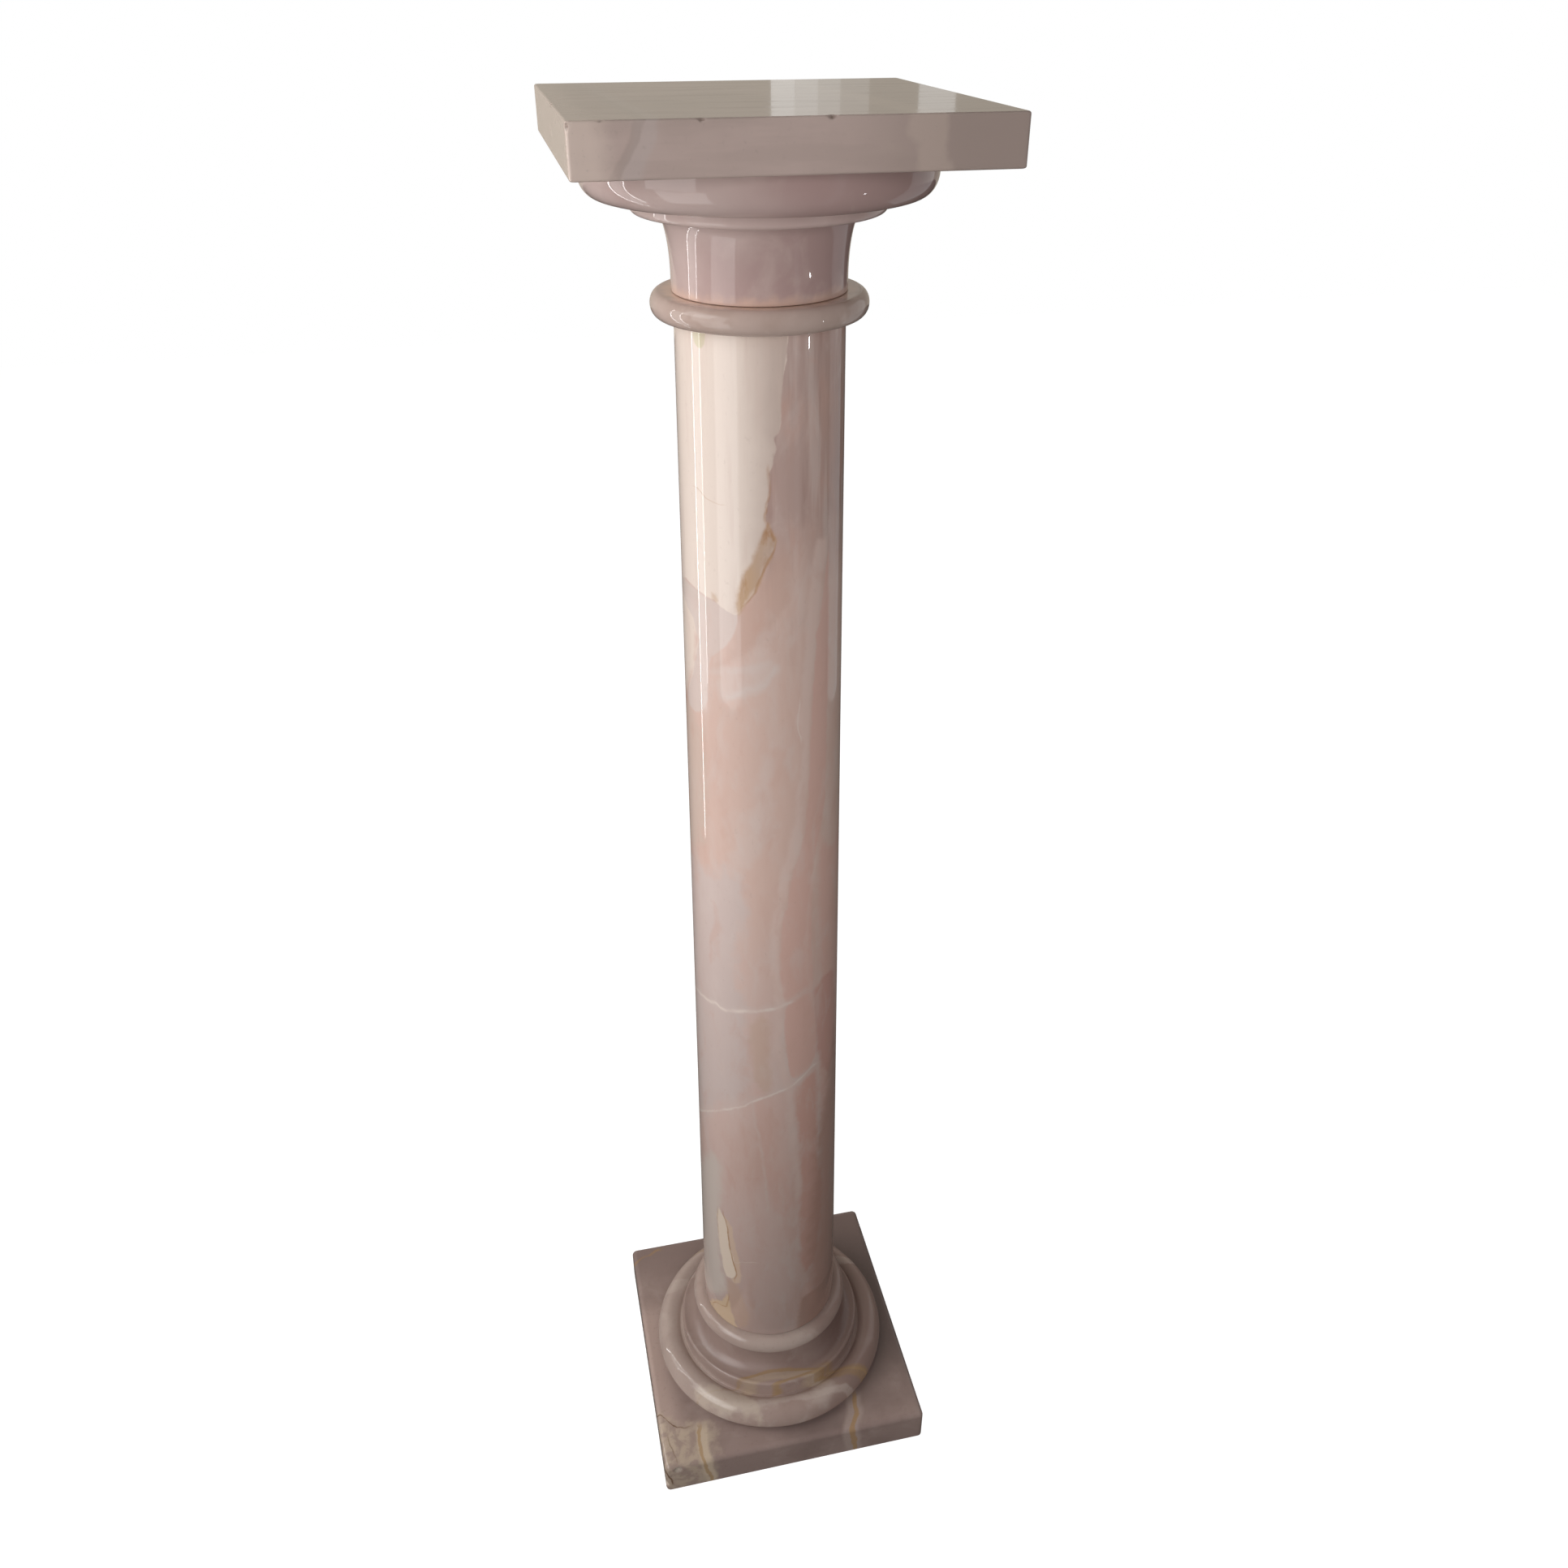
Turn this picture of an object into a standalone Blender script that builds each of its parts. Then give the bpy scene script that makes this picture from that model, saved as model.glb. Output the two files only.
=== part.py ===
"""A display column of onyx marble: six stones, turned or sawn, stacked on one axis and glued.

Metres, +Z up. The origin is on the floor, under the middle of the plinth.
"""
import math

import bmesh
import bpy

# Plinth: the square slab on the floor.
PLINTH_THICK = 0.0320
PLINTH_MARGIN = 0.0117          # from the torus out to the plinth's face
PLINTH_EDGE_ROUND = 0.0045      # softened upper edges and corners
PLINTH_FOOT_ARRIS = 0.0010      # small bevel along the floor

# Base moulding, one turned stone: torus, fillet, scotia and bead.
TORUS_PROJECTION = 0.0230       # past the fillet
TORUS_REACH = 0.0125            # from the torus's middle line to its rim
TORUS_RISE = 0.0137             # above its widest line
TORUS_DROP = 0.0070             # below its widest line
TORUS_TUCK = math.radians(130)  # how far the torus turns over, down to the groove
FILLET_PROJECTION = 0.0119      # past the bead
FILLET_HEIGHT = 0.0120          # above the top of the torus
FILLET_ROUND = 0.0025
SCOTIA_HEIGHT = 0.0210
SCOTIA_LEDGE = 0.0010           # flat left on top of the fillet
BEAD_PROJECTION = 0.0098        # past the foot of the shaft
BEAD_HEIGHT = 0.0164
BEAD_TUCK = math.radians(78)    # how far the bead turns under, into the scotia

# Shaft: turned, plain, with a straight taper.
SHAFT_FOOT_RADIUS = 0.0578
SHAFT_HEAD_RADIUS = 0.0484
SHAFT_LENGTH = 0.8391
SHAFT_ARRIS = 0.0006            # small bevel where the stone meets its neighbours

# Neck ring: a turned disc with a rounded rim.
RING_PROJECTION = 0.0129        # past the head of the shaft
RING_HEIGHT = 0.0132
RING_RIM = 0.0050               # radial depth of the rounded rim

# Capital, one turned stone: neck, fillet and echinus.
NECK_STEP = 0.0007              # the neck stands this far proud of the shaft's head
NECK_UPRIGHT = 0.0074           # straight part above the ring
NECK_FLARE_HEIGHT = 0.0330
NECK_FLARE_REACH = 0.0061
LIST_PROJECTION = 0.0145        # small fillet under the echinus, past the flare
LIST_HEIGHT = 0.0089
LIST_ROUND = 0.0027
ECHINUS_PROJECTION = 0.0266     # past that fillet
ECHINUS_REACH = 0.0091          # radial depth of its curve
ECHINUS_DROP = 0.0122           # depth of its curve
ECHINUS_TUCK = math.radians(74)  # how far it turns under, to its flat underside
ECHINUS_BAND = 0.0085           # upright band between the curve and the slab

# Top slab: square, with crisp edges.
SLAB_THICK = 0.0246
SLAB_OVERHANG = 0.0117          # from the echinus out to the slab's face
SLAB_EDGE_ROUND = 0.0012

# Fits and fineness.
GLUE_GAP = 0.0003               # glue line between two stones
TURNED_SIDES = 56
ARC_STEP = math.radians(15)     # angle between two points of a moulding's curve
EDGE_SEGMENTS = 3
WELD = 0.00002                  # points nearer than this become one
SHARP_ANGLE = math.radians(40)

# Radii, each worked out from the member beside it.
BEAD_RADIUS = SHAFT_FOOT_RADIUS + BEAD_PROJECTION
FILLET_RADIUS = BEAD_RADIUS + FILLET_PROJECTION
TORUS_RADIUS = FILLET_RADIUS + TORUS_PROJECTION
PLINTH_SIDE = 2 * (TORUS_RADIUS + PLINTH_MARGIN)
RING_RADIUS = SHAFT_HEAD_RADIUS + RING_PROJECTION
NECK_RADIUS = SHAFT_HEAD_RADIUS + NECK_STEP
LIST_RADIUS = NECK_RADIUS + NECK_FLARE_REACH + LIST_PROJECTION
ECHINUS_RADIUS = LIST_RADIUS + ECHINUS_PROJECTION
SLAB_SIDE = 2 * (ECHINUS_RADIUS + SLAB_OVERHANG)

# Levels, from the floor up.
BASE_FOOT = PLINTH_THICK + GLUE_GAP
TORUS_LEVEL = BASE_FOOT + TORUS_DROP
FILLET_LEVEL = TORUS_LEVEL + TORUS_RISE
SCOTIA_LEVEL = FILLET_LEVEL + FILLET_HEIGHT
BEAD_LEVEL = SCOTIA_LEVEL + SCOTIA_HEIGHT
BASE_HEAD = BEAD_LEVEL + BEAD_HEIGHT
SHAFT_FOOT = BASE_HEAD + GLUE_GAP
SHAFT_HEAD = SHAFT_FOOT + SHAFT_LENGTH
RING_FOOT = SHAFT_HEAD + GLUE_GAP
RING_HEAD = RING_FOOT + RING_HEIGHT
CAPITAL_FOOT = RING_HEAD + GLUE_GAP
FLARE_LEVEL = CAPITAL_FOOT + NECK_UPRIGHT
LIST_LEVEL = FLARE_LEVEL + NECK_FLARE_HEIGHT
SOFFIT_LEVEL = LIST_LEVEL + LIST_HEIGHT
ECHINUS_LEVEL = SOFFIT_LEVEL + ECHINUS_DROP * math.sin(ECHINUS_TUCK)
CAPITAL_HEAD = ECHINUS_LEVEL + ECHINUS_BAND
SLAB_FOOT = CAPITAL_HEAD + GLUE_GAP


def clear_scene():
    """Start with no objects in the scene."""
    for thing in list(bpy.data.objects):
        bpy.data.objects.remove(thing, do_unlink=True)


def stone(name, colour, roughness):
    """A polished stone finish."""
    finish = bpy.data.materials.new(name)
    finish.use_nodes = True
    shader = finish.node_tree.nodes["Principled BSDF"]
    shader.inputs["Base Color"].default_value = (*colour, 1.0)
    shader.inputs["Roughness"].default_value = roughness
    shader.inputs["Metallic"].default_value = 0.0
    return finish


def arc(middle, reach_out, reach_up, start, end):
    """Points of an ellipse's arc round (r, z) = middle, from the angle start to the angle end."""
    count = max(2, math.ceil(abs(end - start) / ARC_STEP))
    angles = [start + (end - start) * step / count for step in range(count + 1)]
    return [(middle[0] + reach_out * math.cos(angle), middle[1] + reach_up * math.sin(angle))
            for angle in angles]


def turned_stone(name, outline, finish, collection):
    """Turn an outline of (radius, height) points, top to bottom, about the column's axis."""
    points = [(0.0, 0.0, outline[0][1])]
    points += [(radius, 0.0, height) for radius, height in outline]
    points += [(0.0, 0.0, outline[-1][1])]
    half = bpy.data.meshes.new(name + " outline")
    half.from_pydata(points, [(i, i + 1) for i in range(len(points) - 1)], [])
    thing = bpy.data.objects.new(name, half)
    collection.objects.link(thing)
    lathe = thing.modifiers.new("lathe", "SCREW")
    lathe.axis = "Z"
    lathe.angle = 2 * math.pi
    lathe.steps = TURNED_SIDES
    lathe.render_steps = TURNED_SIDES
    lathe.use_merge_vertices = True
    lathe.merge_threshold = WELD
    turned = bpy.data.meshes.new_from_object(thing.evaluated_get(bpy.context.evaluated_depsgraph_get()))
    turned.name = name
    turned.shade_smooth()
    turned.set_sharp_from_angle(angle=SHARP_ANGLE)
    turned.materials.append(finish)
    thing.modifiers.clear()
    thing.data = turned
    return thing


def square_slab(name, side, thick, foot, edge_round, foot_round, finish, collection):
    """A sawn square slab with rounded edges, and with a rounding of its own along its foot."""
    cube = bmesh.new()
    bmesh.ops.create_cube(cube, size=1.0)
    bmesh.ops.scale(cube, vec=(side, side, thick), verts=cube.verts)
    bmesh.ops.translate(cube, vec=(0.0, 0.0, foot + thick / 2), verts=cube.verts)
    weight = cube.edges.layers.float.new("bevel_weight_edge")
    for edge in cube.edges:
        at_foot = all(vert.co.z < foot + thick / 2 for vert in edge.verts)
        edge[weight] = foot_round / edge_round if at_foot else 1.0
    mesh = bpy.data.meshes.new(name)
    cube.to_mesh(mesh)
    cube.free()
    mesh.shade_smooth()
    mesh.materials.append(finish)
    thing = bpy.data.objects.new(name, mesh)
    collection.objects.link(thing)
    rounding = thing.modifiers.new("softened edges", "BEVEL")
    rounding.limit_method = "WEIGHT"
    rounding.width = edge_round
    rounding.segments = EDGE_SEGMENTS
    rounding.harden_normals = True
    return thing


def bead_outline():
    """The small round at the top of the base, which turns under into the scotia."""
    reach = BEAD_HEIGHT / 2
    middle = (BEAD_RADIUS - reach, BEAD_LEVEL + reach)
    return arc(middle, reach, reach, math.pi / 2, -BEAD_TUCK)


def base_outline():
    """Bead, scotia, fillet, groove and torus, top to bottom."""
    outline = bead_outline()
    scotia_top = outline[-1]
    lip = FILLET_RADIUS - FILLET_ROUND
    hollow = lip - SCOTIA_LEDGE - scotia_top[0]
    outline += arc((scotia_top[0] + hollow, scotia_top[1]), hollow, scotia_top[1] - SCOTIA_LEVEL,
                   math.pi, 1.5 * math.pi)[1:]
    outline += arc((lip, SCOTIA_LEVEL - FILLET_ROUND), FILLET_ROUND, FILLET_ROUND, math.pi / 2, 0.0)
    torus_middle = (TORUS_RADIUS - TORUS_REACH, TORUS_LEVEL)
    over = arc(torus_middle, TORUS_REACH, TORUS_RISE, TORUS_TUCK, 0.0)
    under = arc(torus_middle, TORUS_REACH, TORUS_DROP, 0.0, -math.pi / 2)
    outline += [(FILLET_RADIUS, over[0][1])]
    return outline + over + under[1:]


def shaft_outline():
    """The plain tapering shaft, with a small bevel at either end."""
    return [
        (SHAFT_HEAD_RADIUS - SHAFT_ARRIS, SHAFT_HEAD),
        (SHAFT_HEAD_RADIUS, SHAFT_HEAD - SHAFT_ARRIS),
        (SHAFT_FOOT_RADIUS, SHAFT_FOOT + SHAFT_ARRIS),
        (SHAFT_FOOT_RADIUS - SHAFT_ARRIS, SHAFT_FOOT),
    ]


def ring_outline():
    """The half-round rim of the neck ring."""
    middle = (RING_RADIUS - RING_RIM, RING_FOOT + RING_HEIGHT / 2)
    return arc(middle, RING_RIM, RING_HEIGHT / 2, math.pi / 2, -math.pi / 2)


def capital_outline():
    """Echinus, its flat underside, the small fillet and the flared neck, top to bottom."""
    outline = [(ECHINUS_RADIUS, CAPITAL_HEAD)]
    outline += arc((ECHINUS_RADIUS - ECHINUS_REACH, ECHINUS_LEVEL), ECHINUS_REACH, ECHINUS_DROP,
                   0.0, -ECHINUS_TUCK)
    outline += [(LIST_RADIUS, SOFFIT_LEVEL)]
    outline += arc((LIST_RADIUS - LIST_ROUND, LIST_LEVEL + LIST_ROUND), LIST_ROUND, LIST_ROUND,
                   0.0, -math.pi / 2)
    flare_top = math.radians(75)
    reach = NECK_FLARE_REACH / (1 - math.cos(flare_top))
    rise = NECK_FLARE_HEIGHT / math.sin(flare_top)
    outline += arc((NECK_RADIUS + reach, FLARE_LEVEL), reach, rise, math.pi - flare_top, math.pi)
    return outline + [(NECK_RADIUS, CAPITAL_FOOT)]


def build():
    """Make the six stones, from the floor up."""
    clear_scene()
    column = bpy.data.collections.new("onyx marble column")
    bpy.context.scene.collection.children.link(column)
    square_slab("plinth", PLINTH_SIDE, PLINTH_THICK, 0.0, PLINTH_EDGE_ROUND, PLINTH_FOOT_ARRIS,
                stone("plinth onyx", (0.330, 0.262, 0.238), 0.20), column)
    turned_stone("base_moulding", base_outline(),
                 stone("base onyx", (0.340, 0.262, 0.242), 0.14), column)
    turned_stone("shaft", shaft_outline(),
                 stone("shaft onyx", (0.400, 0.298, 0.268), 0.12), column)
    turned_stone("neck_ring", ring_outline(),
                 stone("ring onyx", (0.400, 0.315, 0.272), 0.14), column)
    turned_stone("capital", capital_outline(),
                 stone("capital onyx", (0.360, 0.280, 0.264), 0.14), column)
    square_slab("top_slab", SLAB_SIDE, SLAB_THICK, SLAB_FOOT, SLAB_EDGE_ROUND, SLAB_EDGE_ROUND,
                stone("slab onyx", (0.320, 0.272, 0.240), 0.18), column)


build()
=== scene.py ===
"""Visual model of a display column of onyx marble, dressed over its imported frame."""
import math

import bpy
import numpy as np
from mathutils import Matrix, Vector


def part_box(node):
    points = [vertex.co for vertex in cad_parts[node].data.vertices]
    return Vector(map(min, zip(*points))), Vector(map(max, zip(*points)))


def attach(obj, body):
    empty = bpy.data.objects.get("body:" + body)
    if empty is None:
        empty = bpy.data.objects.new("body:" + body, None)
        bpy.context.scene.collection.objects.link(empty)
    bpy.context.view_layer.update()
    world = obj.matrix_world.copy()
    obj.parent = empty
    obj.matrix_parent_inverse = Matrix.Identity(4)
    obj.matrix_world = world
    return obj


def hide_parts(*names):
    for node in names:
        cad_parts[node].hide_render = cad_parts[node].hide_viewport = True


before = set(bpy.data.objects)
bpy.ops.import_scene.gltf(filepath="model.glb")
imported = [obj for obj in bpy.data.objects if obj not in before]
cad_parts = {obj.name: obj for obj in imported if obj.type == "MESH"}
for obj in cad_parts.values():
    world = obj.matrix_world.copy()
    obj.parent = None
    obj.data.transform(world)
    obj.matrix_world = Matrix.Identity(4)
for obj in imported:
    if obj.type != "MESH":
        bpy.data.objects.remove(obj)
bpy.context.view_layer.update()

# Camera: a little above the top slab and to the left of the front, looking down the shaft.
EYE = (-0.15379, -0.74457, 1.10739)
EYE_TURN = 0.22167              # radians, from +Y towards +X
EYE_DIP = 0.56100               # radians below the horizon
EYE_ROLL = -0.00023
PICTURE_SIDE = 1932             # pixels
FOCAL_LENGTH = 1606.5           # pixels
SENSOR = 36.0                   # millimetres
NEAREST_SEEN = 0.01

ahead = np.array([math.sin(EYE_TURN) * math.cos(EYE_DIP), math.cos(EYE_TURN) * math.cos(EYE_DIP),
                  -math.sin(EYE_DIP)])
level = np.array([math.cos(EYE_TURN), -math.sin(EYE_TURN), 0.0])
plumb = np.cross(ahead, level)
across = level * math.cos(EYE_ROLL) + plumb * math.sin(EYE_ROLL)
down = plumb * math.cos(EYE_ROLL) - level * math.sin(EYE_ROLL)
camera = bpy.data.objects.new("camera", bpy.data.cameras.new("camera"))
camera.data.sensor_width = SENSOR
camera.data.lens = SENSOR * FOCAL_LENGTH / PICTURE_SIDE
camera.data.clip_start = NEAREST_SEEN
camera.matrix_world = Matrix([(across[i], -down[i], -ahead[i], EYE[i]) for i in range(3)]
                             + [(0.0, 0.0, 0.0, 1.0)])
bpy.context.scene.collection.objects.link(camera)
bpy.context.scene.camera = camera
bpy.context.scene.view_settings.view_transform = "Standard"


# Studio: a pale floor, a dim room, soft lights that the stone is lit by, and panes of light that
# only its polish mirrors. None of it is part of the column.
FLOOR_HALF = 4.0
FLOOR_GLOW = 0.97               # how white the floor looks before the lights reach it
FLOOR_PALE = (0.30, 0.30, 0.30)
FLOOR_SEEN_IN_POLISH = (0.150, 0.135, 0.125)
ROOM_BEHIND = (0.460, 0.412, 0.345)
ROOM_ELSEWHERE = (0.030, 0.028, 0.027)
WHITE = (1.0, 1.0, 1.0)
COOL_DAY = (0.93, 0.96, 1.0)


def paint(red, green, blue):
    """Linear colour of an everyday 0-255 colour: ((c + 0.055) / 1.055) to the power 2.4."""
    share = np.array([red, green, blue]) / 255.0
    linear = np.where(share <= 0.04045, share / 12.92, ((share + 0.055) / 1.055) ** 2.4)
    return tuple(float(value) for value in linear)


def show_two_ways(tree, kind, seen, otherwise):
    """End a node tree in an output that shows one shader to the camera's own rays, and another
    to all other rays."""
    path = tree.nodes.new("ShaderNodeLightPath")
    choose = tree.nodes.new("ShaderNodeMixShader")
    out = tree.nodes.new(kind)
    tree.links.new(path.outputs["Is Camera Ray"], choose.inputs[0])
    tree.links.new(otherwise.outputs[0], choose.inputs[1])
    tree.links.new(seen.outputs[0], choose.inputs[2])
    tree.links.new(choose.outputs[0], out.inputs["Surface"])


def room_light():
    """Surround: white straight to the camera, and otherwise a dim room, lighter at the back."""
    world = bpy.data.worlds.new("studio")
    bpy.context.scene.world = world
    world.use_nodes = True
    tree = world.node_tree
    tree.nodes.clear()
    bearing = tree.nodes.new("ShaderNodeTexCoord")
    parts = tree.nodes.new("ShaderNodeSeparateXYZ")
    tree.links.new(bearing.outputs["Generated"], parts.inputs[0])
    room = tree.nodes.new("ShaderNodeMix")
    room.data_type = "RGBA"
    room.inputs[6].default_value = (*ROOM_ELSEWHERE, 1.0)
    room.inputs[7].default_value = (*ROOM_BEHIND, 1.0)
    tree.links.new(parts.outputs["Y"], room.inputs[0])
    lit = tree.nodes.new("ShaderNodeBackground")
    tree.links.new(room.outputs[2], lit.inputs["Color"])
    backdrop = tree.nodes.new("ShaderNodeBackground")
    backdrop.inputs["Color"].default_value = (*WHITE, 1.0)
    show_two_ways(tree, "ShaderNodeOutputWorld", backdrop, lit)


def studio_floor():
    """A wide sheet at z = 0, near white to look at, and quieter where the polish mirrors it."""
    mesh = bpy.data.meshes.new("studio_floor")
    side = FLOOR_HALF
    mesh.from_pydata([(-side, -side, 0), (side, -side, 0), (side, side, 0), (-side, side, 0)], [],
                     [(0, 1, 2, 3)])
    floor = bpy.data.objects.new("studio_floor", mesh)
    bpy.context.scene.collection.objects.link(floor)
    cover = bpy.data.materials.new("pale floor")
    cover.use_nodes = True
    tree = cover.node_tree
    tree.nodes.clear()
    quiet = tree.nodes.new("ShaderNodeBsdfDiffuse")
    quiet.inputs["Color"].default_value = (*FLOOR_SEEN_IN_POLISH, 1.0)
    pale = tree.nodes.new("ShaderNodeBsdfDiffuse")
    pale.inputs["Color"].default_value = (*FLOOR_PALE, 1.0)
    glow = tree.nodes.new("ShaderNodeEmission")
    glow.inputs["Strength"].default_value = FLOOR_GLOW
    bright = tree.nodes.new("ShaderNodeAddShader")
    tree.links.new(pale.outputs[0], bright.inputs[0])
    tree.links.new(glow.outputs[0], bright.inputs[1])
    show_two_ways(tree, "ShaderNodeOutputMaterial", bright, quiet)
    mesh.materials.append(cover)


def soft_light(name, bearing, distance, height, width, tall, brightness, colour, aim, lights,
               mirrored):
    """A rectangle of light. Its middle is at (d sin b, -d cos b, height) for the bearing b, which
    grows from the front (-Y) towards +X, and it faces the axis at the height aim. Its power is
    brightness times pi times its area, so that white is 1. It lights the stone, or shows in its
    polish, or both."""
    lamp = bpy.data.lights.new(name, "AREA")
    lamp.shape = "RECTANGLE"
    lamp.size, lamp.size_y = width, tall
    lamp.energy = brightness * math.pi * width * tall
    lamp.color = colour
    turn = math.radians(bearing)
    place = np.array([distance * math.sin(turn), -distance * math.cos(turn), height])
    back = place - np.array([0.0, 0.0, aim])
    back /= np.linalg.norm(back)
    side = np.cross([0.0, 0.0, 1.0], back)
    side /= np.linalg.norm(side)
    up = np.cross(back, side)
    thing = bpy.data.objects.new(name, lamp)
    thing.matrix_world = Matrix([(side[i], up[i], back[i], place[i]) for i in range(3)]
                                + [(0.0, 0.0, 0.0, 1.0)])
    thing.visible_camera = False
    thing.visible_diffuse, thing.visible_glossy = lights, mirrored
    bpy.context.scene.collection.objects.link(thing)


room_light()
studio_floor()
# Name, bearing, distance, height, width, tallness, brightness, colour, the height that it faces,
# whether it lights the stone, and whether it shows in the polish.
for pane in [
        ("front fill", -25, 1.80, 1.00, 1.20, 1.20, 3.35, WHITE, 0.60, True, False),
        ("left high", -80, 1.30, 1.70, 0.90, 0.90, 1.53, WHITE, 0.90, True, True),
        ("left wall", -100, 2.20, 1.60, 1.60, 1.60, 1.48, WHITE, 0.80, True, False),
        ("side light", -66, 1.60, 1.35, 1.10, 1.30, 1.33, WHITE, 0.80, True, True),
        ("tall window", -103, 0.80, 0.62, 0.22, 1.24, 2.02, WHITE, 0.62, True, False),
        ("right fill", 60, 1.80, 1.00, 1.20, 1.20, 1.25, WHITE, 0.60, True, False),
        ("right back fill", 118, 1.80, 0.95, 1.20, 1.20, 0.80, WHITE, 0.60, True, False),
        ("back fill", 180, 2.20, 1.20, 1.40, 1.40, 1.40, WHITE, 0.60, True, False),
        ("window", -104, 0.80, 0.77, 0.150, 0.94, 1.20, WHITE, 0.77, False, True),
        ("window jamb left", -111.5, 0.80, 0.67, 0.014, 1.14, 12.0, WHITE, 0.67, False, True),
        ("window jamb right", -97.5, 0.80, 0.79, 0.014, 0.90, 10.0, WHITE, 0.79, False, True),
        ("left pane", -58, 0.80, 0.60, 0.46, 0.56, 1.30, WHITE, 0.60, False, True),
        ("front pane", 36, 0.80, 0.62, 0.10, 0.90, 0.22, COOL_DAY, 0.62, False, True),
        ("right pane", 109, 0.80, 0.75, 0.46, 1.00, 0.36, COOL_DAY, 0.62, False, True),
        ("far window", 167.10, 3.00, 1.40, 0.062, 0.80, 0.34, COOL_DAY, 1.05, False, True),
        ("far curtain", 165.95, 3.00, 1.40, 0.058, 0.80, 0.26, COOL_DAY, 1.05, False, True),
        ("far curtain fold", 164.85, 3.00, 1.40, 0.058, 0.80, 0.18, COOL_DAY, 1.05, False, True),
        ("far curtain edge", 163.60, 3.00, 1.40, 0.074, 0.80, 0.09, COOL_DAY, 1.05, False, True),
        ("far pane", 159.6, 3.00, 1.40, 0.094, 0.80, 0.25, COOL_DAY, 1.05, False, True),
        ("small lamp", 54.1, 0.672, 0.797, 0.016, 0.010, 60.0, COOL_DAY, 0.93, True, True)]:
    soft_light(*pane)


# Plinth: a sawn and polished square slab of pink-brown onyx marble, its upper edges and corners
# eased by hand. It lies loose on the floor and carries the whole column, and its front left
# corner is clouded, cracked and worn.
PLINTH_EDGE = 0.0045            # rounding of the upper edges
PLINTH_FOOT_EDGE = 0.0010
PLINTH_CORNER = 0.0038
SLAB_PITCH = 0.0012             # spacing of the points along a slab's sides
SLAB_MIDDLE = 0.97              # a slab's flats stop this share of the way to its middle
FLAT_EDGE = 0.0300              # this far in from a side the rows draw together
FLAT_ROWS, UNDER_ROWS = 12, 10
FLAT_FIRST_ROW = 0.0275
FLAT_ROW = 0.0022
LAST_ROWS = (0.0016, 0.0004)    # how near to the rounding a flat's last rows come
UNDER_FIRST_ROW = 0.0005
SIDE_ROW = 0.0011
CHIP_RIPPLE = 0.16              # share of a chip's radius
CHIP_WAVES = (2300.0, 1700.0)   # radians per metre, along x and z
TORUS_INSET = 0.0060            # of the foot of the moulding above, from its widest
UNDER_MOULDING_SHADE_SPREAD = 0.0016           # of the painted contact shadow round the foot of the moulding
PLINTH_ROUGHNESS = 0.12
CORNER_POINTS = 9
EDGE_POINTS = 9
PLINTH_GROUND = paint(158, 137, 130)
PLINTH_DARK = paint(134, 114, 108)
PLINTH_LIGHT = paint(178, 158, 149)
PLINTH_SHADE = paint(112, 96, 92)
PLINTH_LEFT_LIT = paint(192, 168, 158)
CREAM_CLOUD = paint(204, 185, 163)
OCHRE = paint(172, 136, 92)
CRACK_BROWN = paint(112, 82, 58)
PLINTH_UNDER_MOULDING_SHADE = paint(112, 92, 84)
FRESH_BREAK = paint(214, 204, 190)
CALCITE_IOR = 1.56
EDGE_WAVE = 0.012               # size of the turns that a patch's edge, vein or layer takes
VEIN_WAVE = 0.010
LAYER_WAVE = 0.030
LAYER_CORE = 0.45               # share of a layer's width that has its full tint
VEIN_SWELL = 0.014              # size of the stretches where a vein is thick or thin
POLISH_WAVE = 0.012             # strength of the polish's unevenness, its height and its size
POLISH_WAVE_HEIGHT = 0.002
POLISH_WAVE_SIZE = 0.030
OUTSIDE = 0.200                 # past every side, for a band with an open end


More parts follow.
